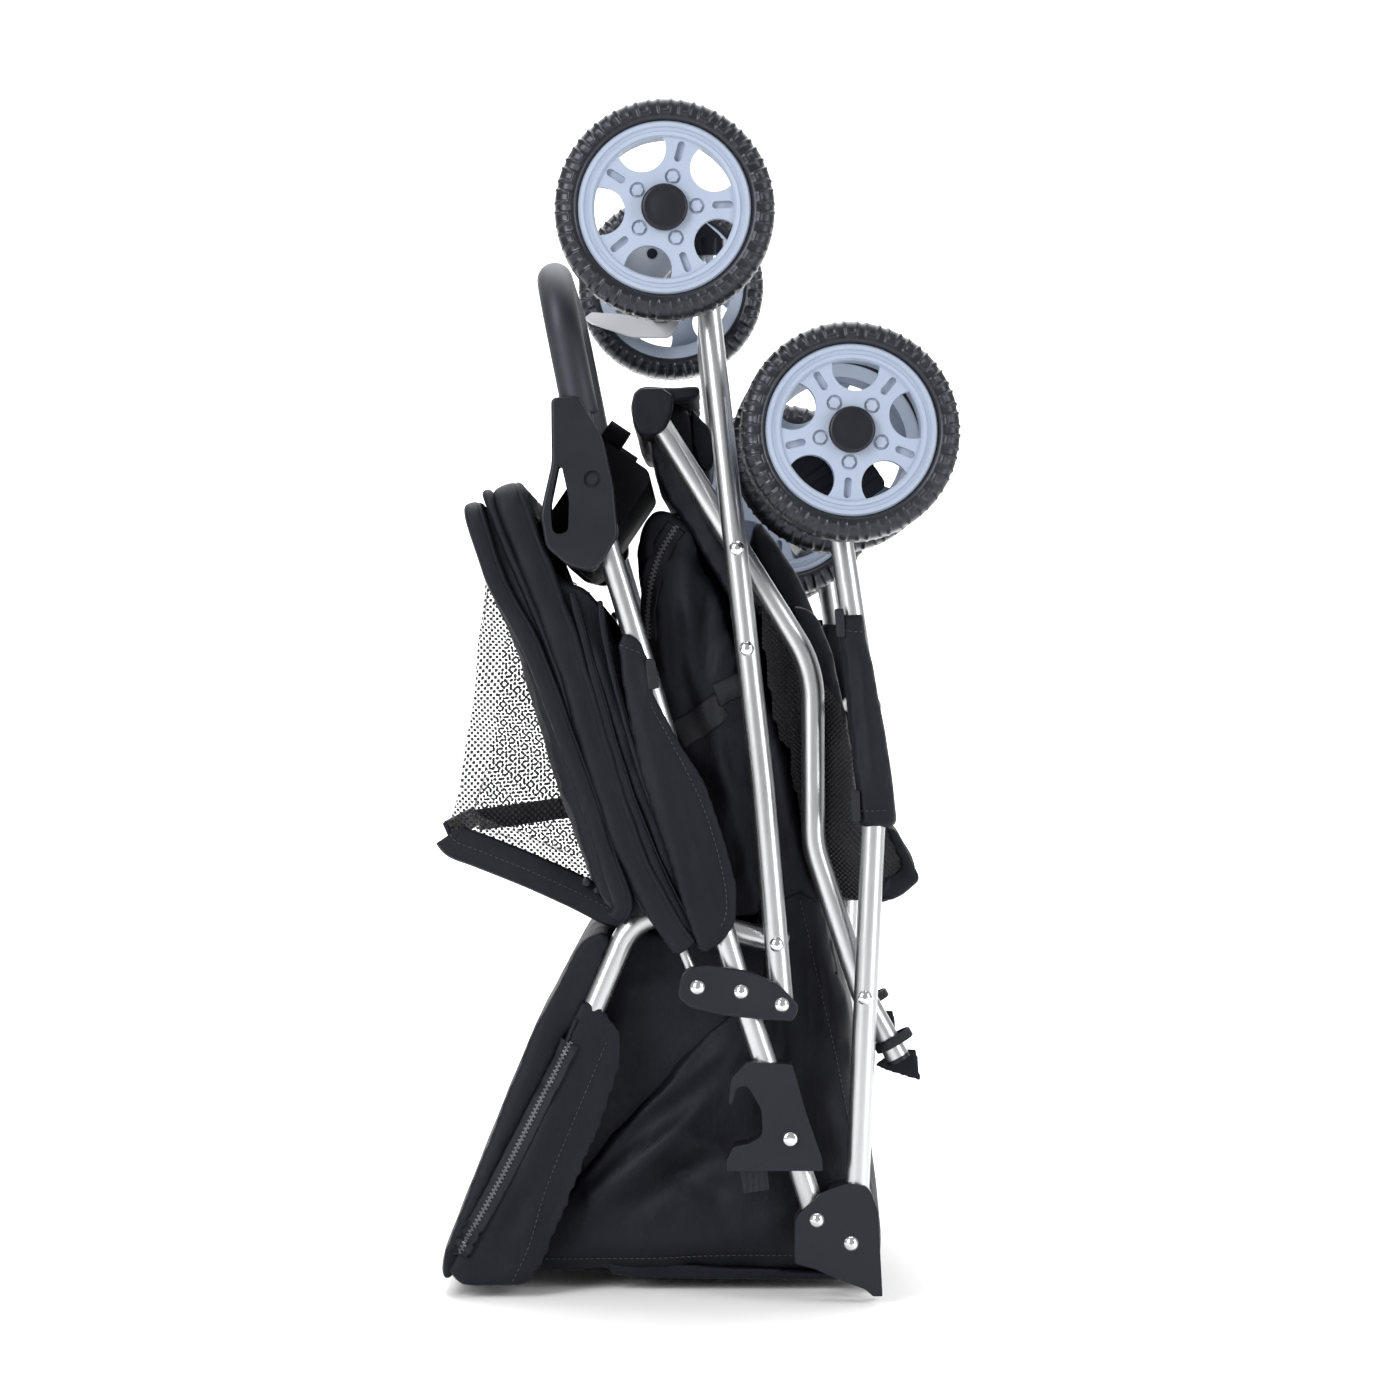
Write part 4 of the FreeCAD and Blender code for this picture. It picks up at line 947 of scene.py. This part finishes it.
def build_basket():
    outline = [(43, 478), (48, 423), (52, 409), (57, 381), (66, 353), (73, 318), (81, 286), (91, 274),
               (103, 268), (129, 267), (141, 270), (156, 284), (152, 297), (140, 318), (132, 326),
               (115, 333), (108, 381), (100, 409), (91, 420), (76, 446), (58, 476)]
    folds = [(62, 440, 70, 330, 5, 4), (80, 420, 84, 310, 5, -4), (94, 400, 92, 300, 6, 4),
             (104, 330, 140, 290, 6, 4)]
    soft("basket_mesh_cover", outline, -128, 128, "basket_rails", ["basket_mesh"], folds, (), 2.2, 30,
         mat="mesh_dark", opened=lambda p, n: n.x < -0.6 and p.z > 300, wall=0.8, seed=13)
    strip = [(43, 540), (55, 525), (72, 500), (84, 472), (96, 441), (101, 416), (108, 388), (100, 380),
             (91, 412), (73, 447), (52, 488), (38, 518)]
    soft("basket_back_edge", strip, -84, 84, "basket_rails", (), (), (), 0.8, seed=14, radius=4)
    side_strip = [(66, 478), (84, 470), (96, 441), (101, 416), (108, 388), (100, 380), (91, 412),
                  (73, 447)]
    soft("basket_side_edge", side_strip, -126, 126, "basket_rails", (), (), (), 0.6, seed=16, radius=4)
    lobe = [(131, 322), (140, 319), (151, 298), (158, 283), (146, 273), (136, 268), (128, 270), (132, 284),
            (146, 290)]
    soft("basket_corner_cover", lobe, -131, 131, "basket_rails", (), (), (), 0.6, voxel=3.5, seed=18,
         radius=3)


def build_rear_panel():
    outline = [(-32, 543), (-39, 528), (-36, 493), (-36, 444), (-34, 416), (-29, 397), (-18, 372),
               (-5, 343), (18, 297), (23, 256), (46, 256), (46, 304), (41, 367), (36, 409), (28, 444),
               (17, 479), (7, 504), (-6, 534), (-22, 544)]
    folds = [(-26, 500, -20, 420, 5, 5), (-8, 520, -2, 440, 6, 6), (8, 490, 6, 420, 4, -5),
             (18, 450, 14, 400, 5, 4), (-14, 450, 0, 388, 5, -4), (4, 420, 30, 320, 7, 5),
             (22, 390, 36, 300, 5, -4), (-30, 530, -20, 470, 4, -3), (26, 360, 38, 270, 4, 3)]
    strip = [(36, 486), (43, 486), (48, 416), (56, 395), (67, 360), (76, 311), (86, 272), (90, 262),
             (84, 247), (66, 250), (50, 252), (46, 290), (38, 350), (34, 420)]
    soft("rear_edge_cloth", strip, -120, 120, "rear_leg_frame", (),
         [(50, 400, 78, 270, 4, 3), (46, 380, 62, 270, 4, -3)],
         (), 1.0, 30, seed=11, radius=4)
    panel = soft("rear_panel_cover", outline, -122, 122, "rear_leg_frame", ["rear_panel"], folds, (), 1.6,
                 30, seed=15, puff=1.5, cap=4)
    tree = tree_of(panel)
    for way, tag in (((0, 1, 0), "left"), ((0, -1, 0), "right")):
        line = drape(path([(-14, 531), (-23, 516), (-30, 498), (-33, 472), (-33, 451)]), tree, 0.3, way)
        zipper("rear_zip_" + tag, line, "rear_leg_frame")
        line = drape(path([(-13, 384), (3, 394), (18, 405)]), tree, 0.3, way)
        ribbon("rear_strap_" + tag, line, 21, 1.4, "rear_leg_frame", "webbing")
        line = drape(path([(14, 412), (22, 416), (31, 420)]), tree, 0.3, way)
        ribbon("rear_strap_end_" + tag, line, 17, 1.6, "rear_leg_frame", "webbing")


def build_flap():
    outline = [(-45, 618), (-42, 625), (-36, 628), (-24, 626), (3, 627), (3, 623), (1, 619), (-8, 617),
               (-17, 616), (-25, 614), (-19, 600), (-22, 594), (-30, 592), (-35, 589), (-39, 592),
               (-43, 600), (-45, 610)]
    soft("rail_flap_cover", outline, -151, 151, "basket_rails", ["rail_flap"],
         [(-40, 600, -38, 622, 4, 2)], (), 1.0, 26, seed=17, voxel=3.4, radius=3)
    end = [(-45, 616), (-41, 625), (-24, 626), (-15, 620), (-17, 604), (-22, 595), (-30, 592), (-39, 592),
           (-44, 601)]
    for tag, side in SIDES:
        low, high = sorted((side * 149.5, side * 155.5))
        soft("rail_flap_end_" + tag, end, low, high, "basket_rails", (), (), (), 0.4, 30, voxel=2.2,
             seed=27, radius=4, pillow=1.5)
    hanging = [(-36, 606), (-33, 588), (-28, 568), (-20, 552), (-4, 528), (13, 498), (29, 470), (35, 428),
               (44, 428), (42, 480), (36, 495), (20, 530), (8, 560), (-2, 584), (-4, 612), (-17, 618)]
    soft("rail_side_cloth", hanging, -126, 126, "basket_rails", (),
         [(-20, 590, 24, 500, 4, 3), (-8, 590, 26, 510, 4, -3)],
         (), 1.2, 26, seed=19, radius=4)
    corner = [(-4, 616), (4, 606), (11, 600), (13, 578), (10, 567), (3, 572), (-4, 590)]
    soft("rail_corner_cloth", corner, -122, 122, "basket_rails", (), (), (), 0.8, 26, seed=20, voxel=3.5,
         radius=3)


def build_rivet_caps():
    """Bright caps over the rivets that hold the lock sliders."""
    for tag, side in SIDES:
        cap_disc("slider_cap_" + tag, 64.7, 108, side * 174.5, side, 5.2, 3.1, "lock_slider_" + tag,
                 "chrome_rivet")


def build_sleeves():
    for side, way, tag in DRAPE_SIDES:
        outline = [(97, 468), (115.5, 470), (118, 447), (122, 433), (129, 395), (135, 358), (139, 323),
                   (130, 321), (113, 321), (111, 340), (107, 378), (103, 416), (100, 443)]
        low, high = sorted((side * 151.2, side * 173.0))
        sleeve = soft("basket_sleeve_" + tag, outline, low, high, "front_leg_frame",
                      ["basket_sleeves"] if side < 0 else (),
                      [(112, 450, 124, 340, 5, 2), (108, 440, 116, 340, 3, -1)],
                      (), 0.8, 30, voxel=3, seed=21 + side, radius=4, pillow=5)
        tree = tree_of(sleeve)
        for k, line in enumerate(([(101, 457), (110, 456), (117, 456)],
                                  [(113, 333), (124, 333), (135, 334)])):
            stitches("sleeve_stitch_%s_%d" % (tag, k), drape(path(line), tree, 0.2, way),
                     "front_leg_frame")
        y0, y1 = sorted((side * 171.0, side * 175.0))
        for k, tab in enumerate(([(95, 472), (101.5, 472), (102.5, 452), (96.5, 452)],
                                 [(106, 347), (112.5, 347), (113, 326), (107, 325)])):
            soft("sleeve_snap_%s_%d" % (tag, k), tab, y0, y1, "front_leg_frame",
                 ["snap_clips"] if side < 0 and k == 0 else (), (), (), 0.1, voxel=1.2, mat="webbing",
                 seed=30 + k, radius=1.5)
    for tag, side in SIDES:
        run = (at(140, 161) - at(116, 204.5)).normalized()
        out = Vector((run.z, 0, -run.x)) * -1
        spots = []
        for step in range(25):
            turn = 2 * math.pi * step / 24
            reach = (10.0 + 6.0 * max(0.0, math.cos(turn)) ** 3) / 1000
            way = out * math.cos(turn) + Vector((0, math.sin(turn), 0))
            spots.append((at(134.5, 171, side * 144.5) + way * reach, way))
        ribbon("tip_loop_" + tag, spots, 7, 1.2, "basket_rails", "webbing")
        y0, y1 = sorted((side * 134, side * 136.2))
        soft("tip_cloth_" + tag, [(124, 154), (138, 166), (154, 165), (157, 143), (150, 145), (143, 147),
                                  (133, 150)], y0, y1, "basket_rails", (), (), (), 0.3, voxel=1.6, seed=33,
             radius=1.5)


build_cabin()
build_front_panel()
build_canopy()
build_petals()
build_bag()
build_basket()
build_rear_panel()
build_flap()
build_sleeves()
build_rivet_caps()


# ------------------------------------------------------------------ stage, lights and camera
def build_stage():
    """White floor that curves up behind the object."""
    verts, faces = [], []
    section = [(-2.5, 0.0), (1.6, 0.0), (2.2, 0.08), (2.6, 0.35), (2.8, 0.8), (2.85, 3.2)]
    curve = [(p.x, p.y) for p in catmull([(a, b, 0) for a, b in section], 6)]
    for x in (-3.2, 3.2):
        for y, z in curve:
            verts.append((x, y, z - 0.0005))
    count = len(curve)
    for i in range(count - 1):
        faces.append([i, i + 1, count + i + 1, count + i])
    obj = new_object("backdrop", verts, faces, "black_fabric")
    n = Nodes("backdrop")
    paper = n.noise(40, 3)
    obj.data.materials.clear()
    obj.data.materials.append(n.finish(n.blend(paper, (0.90, 0.90, 0.90), (0.93, 0.93, 0.93)), 0.9))


def area_light(name, place, target, size, power, tall=None):
    data = bpy.data.lights.new(name, "AREA")
    data.energy = power
    data.shape = "RECTANGLE"
    data.size = size
    data.size_y = tall or size
    obj = bpy.data.objects.new(name, data)
    bpy.context.collection.objects.link(obj)
    obj.location = place
    obj.rotation_euler = (Vector(target) - Vector(place)).to_track_quat("-Z", "Y").to_euler()


def build_lights():
    world = bpy.data.worlds.new("studio")
    bpy.context.scene.world = world
    world.use_nodes = True
    sky = world.node_tree.nodes["Background"].inputs
    sky["Color"].default_value = (1, 1, 1, 1)
    sky["Strength"].default_value = SKY_STRENGTH
    area_light("key", (-1.5, -1.9, 1.5), (0, 0, 0.4), 0.9, 56, 1.9)
    area_light("fill", (1.9, -1.3, 0.9), (0, 0, 0.4), 0.7, 26, 1.9)
    area_light("back", (0.0, 1.5, 2.4), (0, 2.4, 0.6), 3.0, 110)
    area_light("top", (0.0, 0.2, 2.6), (0, 0, 0.4), 1.6, 24)


def build_camera():
    data = bpy.data.cameras.new("camera")
    data.sensor_width = 36
    data.lens = CAMERA_LENS
    data.shift_x, data.shift_y = CAMERA_SHIFT
    obj = bpy.data.objects.new("camera", data)
    bpy.context.collection.objects.link(obj)
    obj.location = at(CAMERA_X, CAMERA_Z, CAMERA_Y)
    obj.rotation_euler = (math.pi / 2, 0, 0)
    bpy.context.scene.camera = obj
    bpy.context.scene.view_settings.view_transform = "Standard"


build_stage()
build_lights()
build_camera()

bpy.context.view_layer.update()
